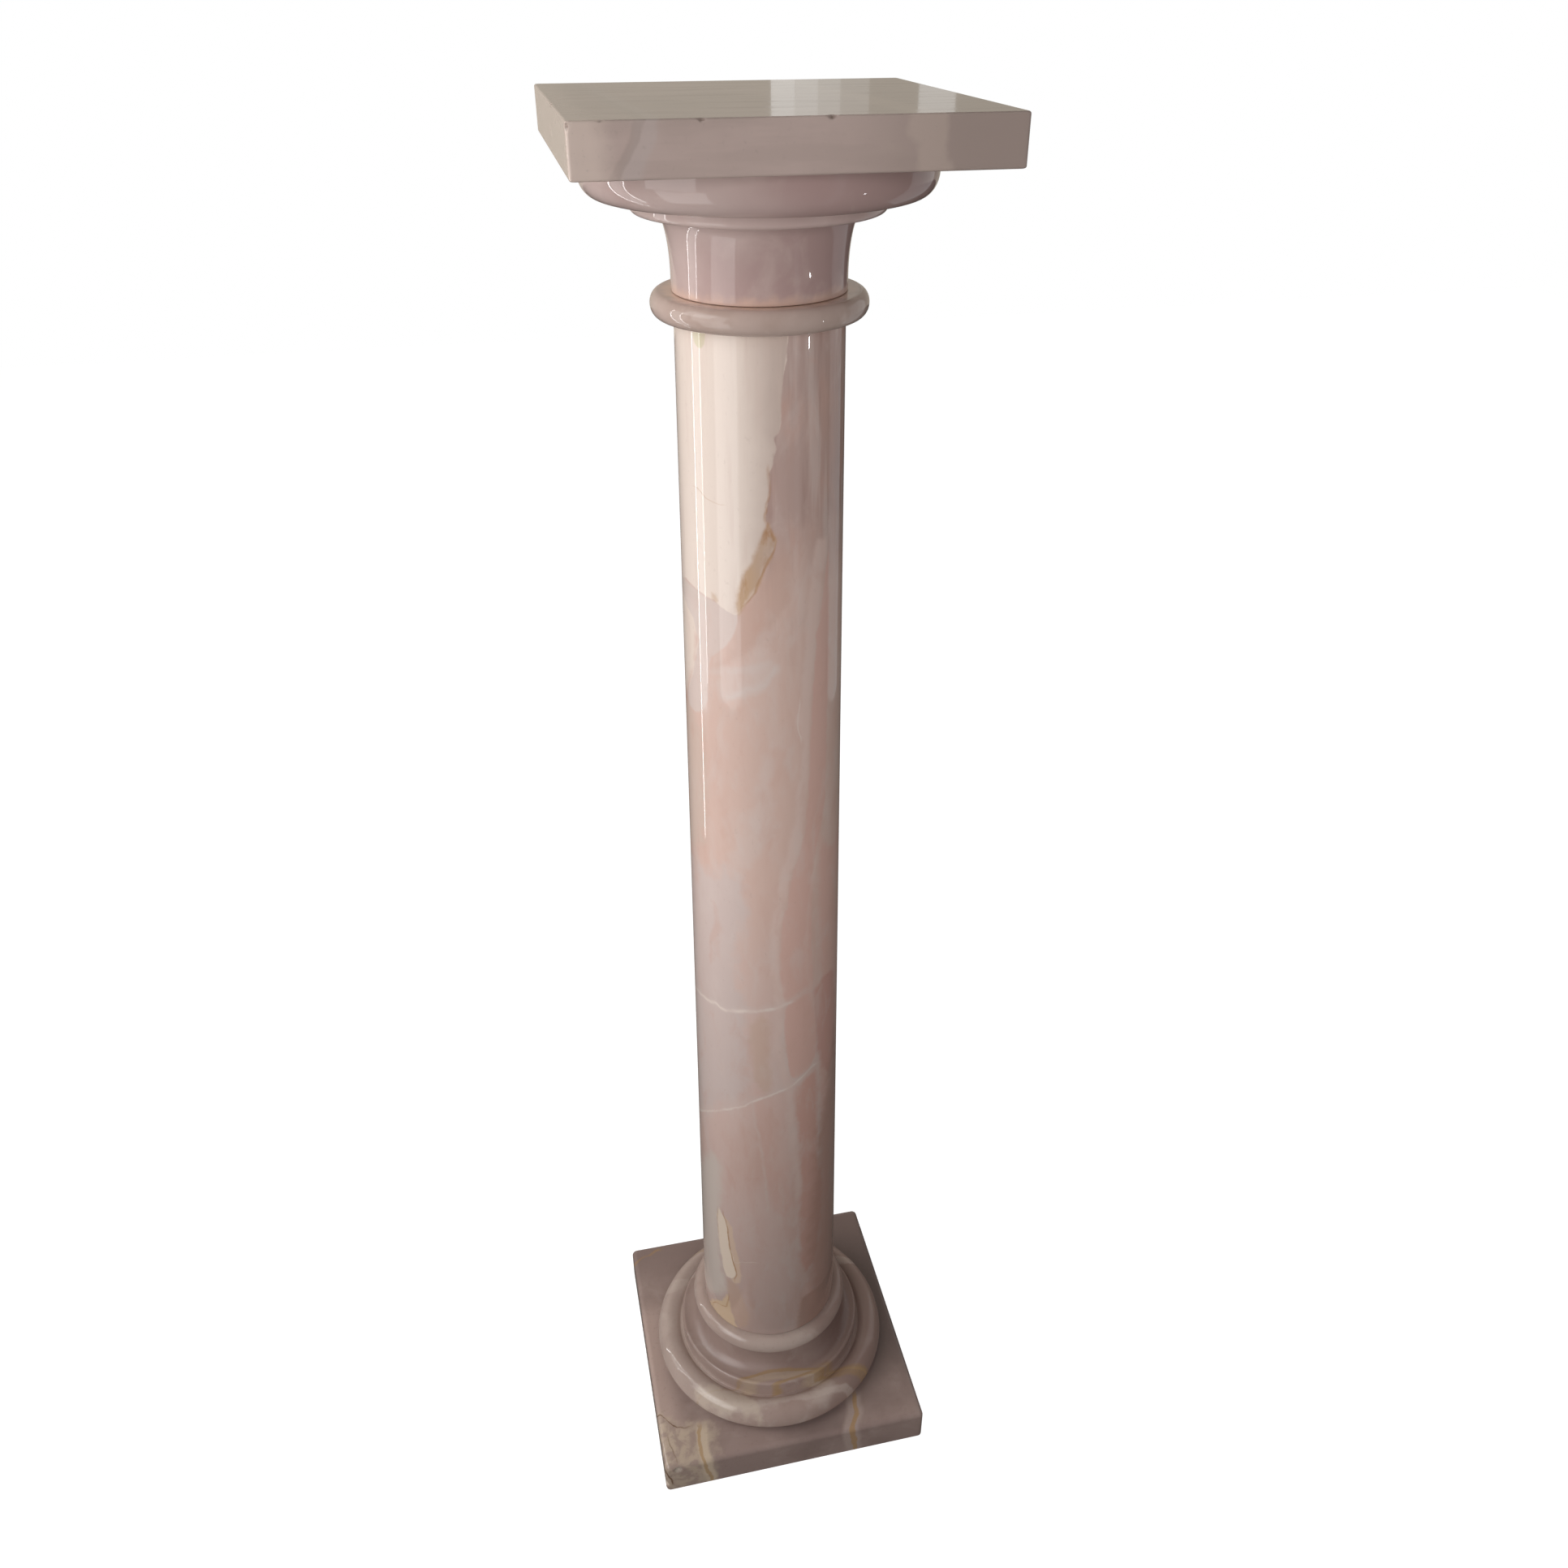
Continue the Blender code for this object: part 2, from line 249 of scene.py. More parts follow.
class StoneFinish:
    """A polished stone's material, laid up one layer of colour at a time."""

    def __init__(self, name, ground, roughness):
        self.material = bpy.data.materials.new(name)
        self.material.use_nodes = True
        self.tree = self.material.node_tree
        self.shader = self.tree.nodes["Principled BSDF"]
        self.shader.inputs["Roughness"].default_value = roughness
        self.shader.inputs["IOR"].default_value = CALCITE_IOR
        self.place = self.node("ShaderNodeTexCoord").outputs["Object"]
        self.colour = (*ground, 1.0)

    def node(self, kind, *inputs, **settings):
        """A new node: its settings, then its inputs in order, each a socket, a value or None."""
        made = self.tree.nodes.new(kind)
        for name, value in settings.items():
            setattr(made, name, value)
        for socket, value in zip(made.inputs, inputs):
            self.feed(socket, value)
        return made

    def feed(self, socket, value):
        """Link a socket to an input, or set the input's own value."""
        if isinstance(value, bpy.types.NodeSocket):
            self.tree.links.new(value, socket)
        elif value is not None:
            socket.default_value = value

    def maths(self, operation, *values):
        """One Math node."""
        return self.node("ShaderNodeMath", *values, operation=operation).outputs[0]

    def product(self, *shares):
        """Shares multiplied together."""
        whole = shares[0]
        for share in shares[1:]:
            whole = self.maths("MULTIPLY", whole, share)
        return whole

    def rest(self, share):
        """What a share leaves of 1."""
        return self.maths("SUBTRACT", 1.0, share)

    def rise(self, value, low, high):
        """0 below low and 1 above high, with a smooth step between."""
        step = self.node("ShaderNodeMapRange", interpolation_type="SMOOTHSTEP")
        for name, part in (("Value", value), ("From Min", low), ("From Max", high)):
            self.feed(step.inputs[name], part)
        return step.outputs[0]

    def cloud(self, size, detail=3.0, stretch=(1.0, 1.0, 1.0), shift=0.0, distortion=0.0):
        """Noise of about 0.5, its lumps size metres across, times the stretch along each axis."""
        spot = self.node("ShaderNodeMapping", self.place, (shift, shift * 0.7, shift * 1.3), None,
                         tuple(1.0 / times for times in stretch)).outputs[0]
        made = self.node("ShaderNodeTexNoise")
        for name, value in (("Vector", spot), ("Scale", 1.0 / size), ("Detail", detail),
                            ("Roughness", 0.55), ("Distortion", distortion)):
            self.feed(made.inputs[name], value)
        return made.outputs[0]

    def lay(self, mask, tint):
        """Mix a tint over the colour so far, where the mask is above 0."""
        mixer = self.node("ShaderNodeMix", data_type="RGBA")
        self.feed(mixer.inputs[0], mask)
        self.feed(mixer.inputs[6], self.colour)
        self.feed(mixer.inputs[7], (*tint, 1.0))
        self.colour = mixer.outputs[2]

    def wash(self, tint, *shares):
        """Lay a tint where every share lets it show."""
        self.lay(self.product(*shares), tint)

    def mottle(self, size, tint, low, high, strength=1.0, **shape):
        """Clouds of a tint, where the noise lies above low and is full above high."""
        self.wash(tint, self.rise(self.cloud(size, **shape), low, high), strength)

    def shade(self, value, low, high, tint, strength):
        """Bring in a tint as a value goes from low to high; high may be the lesser."""
        falls = low > high
        share = self.rise(value, min(low, high), max(low, high))
        self.wash(tint, self.rest(share) if falls else share, strength)

    def between(self, value, low, high, soft):
        """1 where a value lies between low and high, and 0 elsewhere, with soft ends."""
        return self.product(self.rise(value, low - soft, low + soft),
                            self.rest(self.rise(value, high - soft, high + soft)))

    def wavy(self, value, size, reach, **shape):
        """A length that drifts from a value by up to about reach metres either way."""
        drift = self.maths("SUBTRACT", self.cloud(size, **shape), 0.5)
        return self.maths("ADD", value, self.maths("MULTIPLY", drift, 4.0 * reach))

    def along(self, way):
        """How far each point of the stone lies along a way, times the way's own length."""
        return self.node("ShaderNodeVectorMath", self.place, way,
                         operation="DOT_PRODUCT").outputs["Value"]

    def split(self, vector):
        """The three numbers of a vector."""
        return self.node("ShaderNodeSeparateXYZ", vector).outputs

    def marked(self, name):
        """The numbers that a mesh carries at each point under this name."""
        return self.split(self.node("ShaderNodeAttribute", attribute_name=name).outputs["Vector"])

    def patch(self, name, tint, edge, wobble, strength=1.0):
        """A patch of tint inside an outline marked on the mesh, its edge wavering by wobble."""
        depth = self.wavy(self.marked(name)[0], EDGE_WAVE, wobble, detail=6.0)
        self.wash(tint, self.rise(depth, -edge, edge), strength)

    def vein(self, name, tint, width, wobble, strength=1.0):
        """A line of tint along a vein marked on the mesh, fading off beyond its ends."""
        off, reach, _ = self.marked(name)
        away = self.maths("ABSOLUTE", self.wavy(off, VEIN_WAVE, wobble, detail=5.0))
        thick = self.rise(self.cloud(VEIN_SWELL, shift=3.0), 0.30, 0.62)
        self.wash(tint, self.rest(self.rise(away, 0.0, width)),
                  self.maths("MULTIPLY_ADD", thick, 0.6, 0.4), reach, strength)

    def layer(self, facing, middle, tint, width, wobble, reach=1.0, strength=1.0):
        """A band of tint in the stone: where the distance along facing is near middle."""
        off = self.maths("SUBTRACT", self.along(facing), middle)
        away = self.maths("ABSOLUTE", self.wavy(off, LAYER_WAVE, wobble, detail=4.0))
        self.wash(tint, self.rest(self.rise(away, width * LAYER_CORE, width)), reach, strength)

    def deepen(self, height, low, high, kept):
        """Darken the colour evenly from high down to low, where only the share kept is left."""
        share = self.node("ShaderNodeMapRange")
        for name, part in (("Value", height), ("From Min", low), ("From Max", high),
                           ("To Min", kept)):
            self.feed(share.inputs[name], part)
        deeper = self.node("ShaderNodeVectorMath", self.colour, operation="SCALE")
        self.feed(deeper.inputs["Scale"], share.outputs[0])
        self.colour = deeper.outputs[0]

    def polish(self):
        """Finish the shader: the colour, and a polish that is not quite flat."""
        self.feed(self.shader.inputs["Base Color"], self.colour)
        bump = self.node("ShaderNodeBump")
        self.feed(bump.inputs["Strength"], POLISH_WAVE)
        self.feed(bump.inputs["Distance"], POLISH_WAVE_HEIGHT)
        self.feed(bump.inputs["Height"], self.cloud(
            POLISH_WAVE_SIZE, detail=1.0, stretch=(1.0, 1.0, 2.0), shift=5.0))
        self.feed(self.shader.inputs["Normal"], bump.outputs[0])
        return self.material


def closed_skin(name, rings):
    """Mesh of a closed skin over rings[row, column] of points, top row first. Each point is joined
    to the next in its row, which closes on itself, and to the one below it, and the first and
    last rows are each filled by a fan to their own middle."""
    rows, columns = rings.shape[:2]
    points = np.concatenate([rings.reshape(-1, 3), rings[0].mean(axis=0)[None],
                             rings[-1].mean(axis=0)[None]])
    row, column = np.meshgrid(np.arange(rows - 1), np.arange(columns), indexing="ij")
    beside = (column + 1) % columns
    quads = np.stack([row * columns + column, (row + 1) * columns + column,
                      (row + 1) * columns + beside, row * columns + beside], axis=-1).reshape(-1, 4)
    here = np.arange(columns)
    following = (here + 1) % columns
    base = (rows - 1) * columns
    head = np.full(columns, rows * columns)
    top_fan = np.stack([head, here, following], axis=-1)
    foot_fan = np.stack([head + 1, base + following, base + here], axis=-1)
    corners = np.concatenate([quads.ravel(), top_fan.ravel(), foot_fan.ravel()])
    sizes = np.concatenate([np.full(len(quads), 4), np.full(2 * columns, 3)])
    mesh = bpy.data.meshes.new(name)
    mesh.vertices.add(len(points))
    mesh.vertices.foreach_set("co", points.astype(np.float32).ravel())
    mesh.loops.add(len(corners))
    mesh.loops.foreach_set("vertex_index", corners.astype(np.int32))
    mesh.polygons.add(len(sizes))
    mesh.polygons.foreach_set("loop_start", (np.cumsum(sizes) - sizes).astype(np.int32))
    mesh.update(calc_edges=True)
    mesh.validate()
    mesh.shade_smooth()
    return mesh


def stone_piece(name, mesh, finish):
    """Place a stone's fine mesh over its solid in the frame, with the finish of its slot."""
    mesh.materials.append(finish)
    thing = bpy.data.objects.new("fine_" + name, mesh)
    bpy.context.scene.collection.objects.link(thing)
    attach(thing, "root")
    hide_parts(name)


def points_of(mesh):
    """All points of a mesh, as an array of (x, y, z)."""
    flat = np.empty(3 * len(mesh.vertices), dtype=np.float32)
    mesh.vertices.foreach_get("co", flat)
    return flat.reshape(-1, 3).astype(float)


def set_mark(mesh, name, first, second=0.0):
    """Store two numbers at each point of a mesh, as the first parts of a vector."""
    values = np.zeros((len(mesh.vertices), 3), dtype=np.float32)
    values[:, 0], values[:, 1] = first, second
    mesh.attributes.new(name, "FLOAT_VECTOR", "POINT").data.foreach_set("vector", values.ravel())


def depth_inside(spots, outline):
    """How far each (x, y) of spots lies inside a closed outline: the least distance to any of its
    sides, taken as negative where a ray from the spot crosses an even number of them."""
    start = np.asarray(outline, dtype=float)
    end = np.roll(start, -1, axis=0)
    side = end - start
    offset = spots[:, None] - start
    share = np.clip((offset * side).sum(-1) / (side ** 2).sum(-1), 0.0, 1.0)
    distance = np.linalg.norm(offset - share[..., None] * side, axis=-1).min(axis=1)
    spans = (start[:, 1] > spots[:, None, 1]) != (end[:, 1] > spots[:, None, 1])
    rise = np.where(side[:, 1] == 0.0, 1.0, side[:, 1])
    crossing = start[:, 0] + (spots[:, None, 1] - start[:, 1]) * side[:, 0] / rise
    inside = (spans & (spots[:, None, 0] < crossing)).sum(axis=1) % 2 == 1
    return np.where(inside, distance, -distance)


def run_of_vein(along, across_it, vein, fade):
    """For a vein given as (along, across) points: the distance across from the line between them,
    and its reach, which is 1 between the ends and falls to 0 over fade beyond them."""
    line = np.asarray(sorted(vein), dtype=float)
    off = across_it - np.interp(along, line[:, 0], line[:, 1])
    beyond = np.maximum(line[0, 0] - along, along - line[-1, 0])
    return off, np.clip(1.0 - beyond / fade, 0.0, 1.0)


def square_ring(pitch, half, corner):
    """Round a square with rounded corners, anticlockwise from its front left corner: for each
    point the place of the corner's centre line, as a share of it, and the way out."""
    steps = np.linspace(-1.0, 1.0, int(2 * (half - corner) / pitch))[1:-1]
    turn = np.linspace(0.0, math.pi / 2, CORNER_POINTS)
    share, out = [], []
    for quarter in range(4):
        swing = quarter * math.pi / 2
        spin = np.array([[math.cos(swing), math.sin(swing)], [-math.sin(swing), math.cos(swing)]])
        bend = np.stack([-np.cos(turn), -np.sin(turn)], axis=-1)
        share += [np.tile([-1.0, -1.0], (CORNER_POINTS, 1)) @ spin,
                  np.stack([steps, -np.ones_like(steps)], axis=-1) @ spin]
        out += [bend @ spin, np.tile([0.0, -1.0], (len(steps), 1)) @ spin]
    return np.concatenate(share), np.concatenate(out)


def slab_rows(half, foot, head, top_edge, foot_edge):
    """Section of a slab from the middle of its top, out over its edges and back below, as rows of
    (inset from the side, height): flats, with a quarter circle at either edge."""
    inward = np.concatenate([np.geomspace(half * SLAB_MIDDLE, FLAT_EDGE, FLAT_ROWS),
                             np.arange(FLAT_FIRST_ROW, top_edge + LAST_ROWS[0], -FLAT_ROW),
                             [top_edge + LAST_ROWS[1]]])
    turn = np.linspace(math.pi / 2, 0.0, EDGE_POINTS)
    edge = np.stack([top_edge * (1 - np.cos(turn)), head - top_edge * (1 - np.sin(turn))], axis=-1)
    side = np.linspace(head - top_edge, foot + foot_edge, int((head - foot) / SIDE_ROW))[1:-1]
    turn = turn[::-2]
    below = np.stack([foot_edge * (1 - np.cos(turn)), foot + foot_edge * (1 - np.sin(turn))],
                     axis=-1)
    under = np.geomspace(foot_edge + UNDER_FIRST_ROW, half * SLAB_MIDDLE, UNDER_ROWS)
    return np.concatenate([np.stack([inward, np.full_like(inward, head)], axis=-1), edge,
                           np.stack([np.zeros_like(side), side], axis=-1), below,
                           np.stack([under, np.full_like(under, foot)], axis=-1)])


def slab_skin(half, corner, rows):
    """A slab's points: (half - inset - c) times the ring's share plus c times its way out, where
    the corner's radius c shrinks with the inset, so that no two points meet short of the middle."""
    share, out = square_ring(SLAB_PITCH, half, corner)
    inset, height = rows[:, 0, None, None], rows[:, 1, None]
    bend = corner * (1.0 - inset / half)
    flat = share * (half - inset - bend) + out * bend
    return np.concatenate([flat, np.broadcast_to(height[..., None], (*flat.shape[:2], 1))], axis=-1)


def chip_away(rings, chips):
    """Knock chips off an edge: a point inside a ball is moved straight out to the ball's surface,
    whose radius ripples a little. Also gives how much each point has moved, as a share."""
    fresh = np.zeros(rings.shape[:2])
    for centre, radius in chips:
        way = rings - np.array(centre)
        distance = np.linalg.norm(way, axis=-1)
        wave = np.sin(way[..., 0] * CHIP_WAVES[0]) * np.cos(way[..., 2] * CHIP_WAVES[1] + 1.0)
        ripple = radius * (1.0 + CHIP_RIPPLE * wave)
        hit = (distance < ripple)[..., None]
        moved = np.array(centre) + way / distance[..., None] * ripple[..., None]
        rings = np.where(hit, moved, rings)
        fresh = np.maximum(fresh, np.clip(1.5 * (1.0 - distance / ripple), 0.0, 1.0))
    return rings, fresh


plinth_low, plinth_high = (np.array(corner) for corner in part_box("plinth"))
plinth_half = (plinth_high[0] - plinth_low[0]) / 2
plinth_top = plinth_high[2]
base_low, base_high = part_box("base_moulding")
torus_radius = (base_high[0] - base_low[0]) / 2
rings = slab_skin(plinth_half, PLINTH_CORNER,
                  slab_rows(plinth_half, plinth_low[2], plinth_top, PLINTH_EDGE, PLINTH_FOOT_EDGE))
rings, fresh = chip_away(rings, [             # each ball's centre and radius
    ((-0.1035, -0.1168, 0.0275), 0.0046),
    ((-0.1165, -0.1120, 0.0090), 0.0048),
    ((-0.1160, -0.0700, 0.0325), 0.0034),
    ((0.1162, -0.0180, 0.0330), 0.0030),
])
plinth_mesh = closed_skin("plinth", rings)
spots = points_of(plinth_mesh)
set_mark(plinth_mesh, "fresh", np.append(fresh.ravel(), [0.0, 0.0]))
set_mark(plinth_mesh, "clouded_corner", depth_inside(spots[:, :2], [
    (-0.130, -0.058), (-0.110, -0.064), (-0.101, -0.071), (-0.095, -0.078), (-0.086, -0.080),
    (-0.075, -0.079), (-0.069, -0.084), (-0.067, -0.093), (-0.070, -0.104), (-0.072, -0.130),
    (-0.130, -0.130)]))
set_mark(plinth_mesh, "corner_crack", *run_of_vein(spots[:, 0], spots[:, 1], [
    (-0.116, -0.062), (-0.110, -0.066), (-0.106, -0.072), (-0.102, -0.077), (-0.097, -0.080),
    (-0.089, -0.081)], 0.004))
set_mark(plinth_mesh, "corner_flaw", *run_of_vein(spots[:, 1], spots[:, 0], [
    (-0.108, -0.104), (-0.102, -0.1055), (-0.095, -0.107), (-0.088, -0.108)], 0.004))
set_mark(plinth_mesh, "face_crack", *run_of_vein(
    spots[:, 2] + 10.0 * np.maximum(spots[:, 1] + plinth_half - 0.004, 0.0), spots[:, 0],
    [(0.010, -0.1085), (0.014, -0.1092), (0.020, -0.1115), (0.026, -0.1135)], 0.003))
set_mark(plinth_mesh, "back_vein", *run_of_vein(spots[:, 0], spots[:, 1], [
    (-0.116, 0.097), (-0.110, 0.099), (-0.104, 0.103), (-0.098, 0.104), (-0.090, 0.108)], 0.006))
set_mark(plinth_mesh, "joint", np.hypot(spots[:, 0], spots[:, 1]), spots[:, 2])
finish = StoneFinish("plinth onyx", PLINTH_GROUND, PLINTH_ROUGHNESS)
sideways, inward, _ = finish.split(finish.place)
finish.mottle(0.060, PLINTH_DARK, 0.42, 0.66, 0.6, detail=4.0)
finish.mottle(0.034, PLINTH_LIGHT, 0.50, 0.78, 0.6, detail=5.0, shift=2.0, distortion=0.4)
# Painted light: the plinth's left side is paler, as if lit from the left.
finish.wash(PLINTH_LEFT_LIT, finish.between(sideways, -OUTSIDE, -0.096, 0.012),
            finish.between(inward, -0.090, 0.045, 0.015), 0.75)
# Painted shade: the plinth darker towards its right, behind its front edge.
finish.wash(PLINTH_SHADE, finish.rise(finish.wavy(sideways, 0.050, 0.012), 0.015, 0.070),
            finish.rise(inward, -0.090, -0.030), 0.95)
# Painted shade: the plinth darker towards its back.
finish.shade(finish.wavy(inward, 0.050, 0.012), 0.050, 0.105, PLINTH_DARK, 0.70)
in_front = finish.between(inward, -OUTSIDE, -0.082, 0.006)
# Painted shade: a darker strip on the plinth's top in front of the base moulding.
finish.wash(PLINTH_SHADE, finish.between(inward, -0.1125, -0.090, 0.002),
            finish.between(sideways, -0.010, 0.048, 0.012), 0.32)
ochre_bed = (0.957, -0.287, 0.04)
finish.layer(ochre_bed, 0.0812, PLINTH_LIGHT, 0.0095, 0.0034, in_front, 0.75)
finish.layer(ochre_bed, 0.0826, OCHRE, 0.0028, 0.0034, in_front, 0.75)
finish.patch("clouded_corner", CREAM_CLOUD, 0.0055, 0.0060, 0.66)
finish.wash(PLINTH_GROUND, finish.rise(finish.marked("clouded_corner")[0], -0.004, 0.006),
            finish.rise(finish.cloud(0.012, detail=6.0, shift=7.0, distortion=0.6), 0.42, 0.60),
            0.70)
finish.layer((0.98, -0.02, 0.12), -0.0710, CREAM_CLOUD, 0.0062, 0.0030, in_front, 0.95)
finish.layer((0.98, -0.02, 0.20), -0.0705, OCHRE, 0.0020, 0.0040, in_front, 0.65)
finish.vein("corner_crack", CRACK_BROWN, 0.0011, 0.0016, 0.9)
finish.vein("corner_flaw", CRACK_BROWN, 0.0008, 0.0012, 0.6)
finish.vein("face_crack", CRACK_BROWN, 0.0014, 0.0008, 1.0)
finish.vein("back_vein", OCHRE, 0.0022, 0.0016, 0.7)
# Painted contact shadow: the plinth's top darker under the overhang of the base moulding.
away, level_there, _ = finish.marked("joint")
shade_edge = torus_radius - TORUS_INSET + UNDER_MOULDING_SHADE_SPREAD
finish.wash(PLINTH_UNDER_MOULDING_SHADE, finish.between(away, 0.0, shade_edge, UNDER_MOULDING_SHADE_SPREAD),
            finish.rise(level_there, plinth_top - 0.002, plinth_top - 0.001), 0.55)
finish.mottle(0.0035, PLINTH_DARK, 0.55, 0.80, 0.30, detail=2.0, shift=9.0)
finish.lay(finish.marked("fresh")[0], FRESH_BREAK)
stone_piece("plinth", plinth_mesh, finish.polish())


# Base moulding: one stone turned on the lathe, with a torus, a fillet, a scotia and a bead. It
# is cut from banded onyx, whose layers stand upright across it, and is glued to the plinth.
TURNED_COLUMNS = 192            # points round a turned stone
TURNED_STEP = 0.0016            # spacing of the points along its outline
ARRIS_STEP = 0.0004             # the same, next to an arris
BED_ROWS = (0.35, 0.80)         # shares of the radius, on the flat beds that are glued
CURVE_STEP = math.radians(5)
TORUS_REACH = 0.0125
TORUS_RISE = 0.0137
TORUS_DROP = 0.0070
TORUS_TUCK = math.radians(130)
FILLET_PROJECTION = 0.0119      # past the bead
FILLET_HEIGHT = 0.0120
FILLET_ROUND = 0.0025
SCOTIA_HEIGHT = 0.0210
SCOTIA_LEDGE = 0.0010
BEAD_HEIGHT = 0.0164
BEAD_TUCK = math.radians(78)
TORUS_PROJECTION = 0.0230       # past the fillet
ARRIS = 0.0005                  # half the width over which a tint stops at an arris
NO_PATCH = -0.02                # a depth well outside an outline
BASE_ROUGHNESS = 0.07
SCOTIA_DULLER = 0.18            # more roughness in the hollow, where no polish reaches
BASE_GROUND = paint(170, 148, 139)
BASE_DARK = paint(142, 118, 110)
BASE_CREAM = paint(206, 190, 174)
BASE_OCHRE = paint(170, 140, 104)
BASE_RUST = paint(160, 131, 102)
BASE_SAND = paint(192, 170, 145)
BASE_PALE = paint(198, 182, 172)
BASE_HOLLOW_SHADE = paint(98, 72, 66)


def curve(middle, reach_out, reach_up, start, end):
    """Ellipse's arc of (radius, height) points: middle + (reach_out cos t, reach_up sin t)."""
    turn = np.linspace(start, end, max(3, math.ceil(abs(end - start) / CURVE_STEP) + 1))
    return [(middle[0] + reach_out * math.cos(t), middle[1] + reach_up * math.sin(t)) for t in turn]


def fine_outline(outline, step):
    """An outline's points with more between them: each side longer than step is cut into equal
    parts, and has a point close to either end, to keep its arrises crisp."""
    line = np.array(outline)
    made = [line[:1]]
    for start, end in zip(line[:-1], line[1:]):
        length = float(np.hypot(*(end - start)))
        if length > 3 * ARRIS_STEP:
            near, parts = ARRIS_STEP / length, max(2, math.ceil(length / step) + 1)
            made.append(start + (end - start) * np.linspace(near, 1 - near, parts)[:, None])
        made.append(end[None])
    return np.concatenate(made)


def turned_skin(name, outline, step=TURNED_STEP):
    """Mesh of a turned stone: its outline, with points further in at either end for its flat
    beds, goes round the axis, each (r, z) to (r sin a, -r cos a, z)."""
    (first, head), (last, foot) = outline[0], outline[-1]
    inner, outer = BED_ROWS
    outline = fine_outline([(first * inner, head), (first * outer, head), *outline,
                            (last * outer, foot), (last * inner, foot)], step)
    turn = np.radians(np.arange(TURNED_COLUMNS) * 360.0 / TURNED_COLUMNS - 180.0)
    radius, height = outline[:, 0, None], outline[:, 1, None]
    return closed_skin(name, np.stack([
        radius * np.sin(turn), -radius * np.cos(turn),
        np.broadcast_to(height, (len(outline), TURNED_COLUMNS))], axis=-1))


fillet_radius = torus_radius - TORUS_PROJECTION
bead_radius = fillet_radius - FILLET_PROJECTION
torus_level = base_low[2] + TORUS_DROP
fillet_level = torus_level + TORUS_RISE
scotia_level = fillet_level + FILLET_HEIGHT
bead_level = scotia_level + SCOTIA_HEIGHT
bead_reach = BEAD_HEIGHT / 2
outline = curve((bead_radius - bead_reach, bead_level + bead_reach), bead_reach, bead_reach,
                math.pi / 2, -BEAD_TUCK)
lip = fillet_radius - FILLET_ROUND
hollow = lip - SCOTIA_LEDGE - outline[-1][0]
outline += curve((outline[-1][0] + hollow, outline[-1][1]), hollow, outline[-1][1] - scotia_level,
                 math.pi, 1.5 * math.pi)[1:]
outline += curve((lip, scotia_level - FILLET_ROUND), FILLET_ROUND, FILLET_ROUND, math.pi / 2, 0.0)
torus_middle = (torus_radius - TORUS_REACH, torus_level)
over = curve(torus_middle, TORUS_REACH, TORUS_RISE, TORUS_TUCK, 0.0)
outline += [(fillet_radius, over[0][1])] + over
outline += curve(torus_middle, TORUS_REACH, TORUS_DROP, 0.0, -math.pi / 2)[1:]
base_mesh = turned_skin("base_moulding", outline)
spots = points_of(base_mesh)
from_axis = np.hypot(spots[:, 0], spots[:, 1])
set_mark(base_mesh, "pale_wedge", depth_inside(spots[:, :2], [
    (0.014, -0.097), (0.019, -0.089), (0.024, -0.078), (0.033, -0.076), (0.040, -0.080),
    (0.041, -0.087), (0.030, -0.096)]))
cream_wedge = depth_inside(spots[:, :2], [
    (-0.082, -0.058), (-0.066, -0.058), (-0.048, -0.069), (-0.030, -0.082), (-0.024, -0.090),
    (-0.030, -0.098), (-0.046, -0.088), (-0.062, -0.080), (-0.076, -0.072)])
on_the_torus = from_axis > fillet_radius + ARRIS
set_mark(base_mesh, "cream_wedge", np.where(on_the_torus, cream_wedge, NO_PATCH))
set_mark(base_mesh, "hollow", from_axis, spots[:, 2])
finish = StoneFinish("base onyx", BASE_GROUND, BASE_ROUGHNESS)
sideways, _, _ = finish.split(finish.place)
finish.mottle(0.050, BASE_DARK, 0.44, 0.70, 0.5, detail=4.0)
finish.mottle(0.026, BASE_PALE, 0.52, 0.80, 0.5, detail=5.0, shift=1.0, distortion=0.5)
away, level_there, _ = finish.marked("hollow")
on_bead = finish.rise(level_there, bead_level, bead_level + 2 * ARRIS)
on_torus = finish.rise(away, fillet_radius - ARRIS, fillet_radius + ARRIS)
drift = finish.wavy(sideways, 0.040, 0.010)
# Painted light: the torus and the bead paler on their left, the bead most so.
finish.wash(BASE_PALE, on_torus, finish.between(drift, -OUTSIDE, -0.050, 0.020), 0.40)
finish.wash(BASE_PALE, on_bead, finish.between(drift, -OUTSIDE, 0.024, 0.020),
            finish.maths("MULTIPLY_ADD", finish.rise(sideways, -0.060, -0.010), 0.40, 0.15))
# Painted shade: the moulding darker towards its right.
finish.shade(drift, 0.010, 0.070, BASE_DARK, 0.80)
below_bead = finish.rest(on_bead)
left_part = finish.product(below_bead, finish.between(sideways, -OUTSIDE, -0.030, 0.012))
middle_part = finish.product(below_bead, finish.between(sideways, -0.040, 0.036, 0.006))
lower_part = finish.product(below_bead, finish.between(sideways, -0.014, 0.038, 0.004))
right_part = finish.product(below_bead, finish.between(sideways, 0.034, OUTSIDE, 0.014))
upper_bed, lower_bed, back_bed = (0.075, 1.0, 0.0), (-0.157, 1.0, 0.0), (0.05, 1.0, 0.08)
finish.layer((0.03, 1.0, 0.0), -0.0862, BASE_PALE, 0.0042, 0.0044, below_bead, 0.45)
finish.layer(upper_bed, -0.0733, BASE_SAND, 0.0048, 0.0016, middle_part, 0.60)
finish.layer(upper_bed, -0.0697, BASE_OCHRE, 0.0015, 0.0014, middle_part, 0.85)
finish.layer(lower_bed, -0.0776, BASE_OCHRE, 0.0015, 0.0014, lower_part, 0.80)
finish.layer(upper_bed, -0.0682, BASE_RUST, 0.0062, 0.0026, right_part, 0.80)
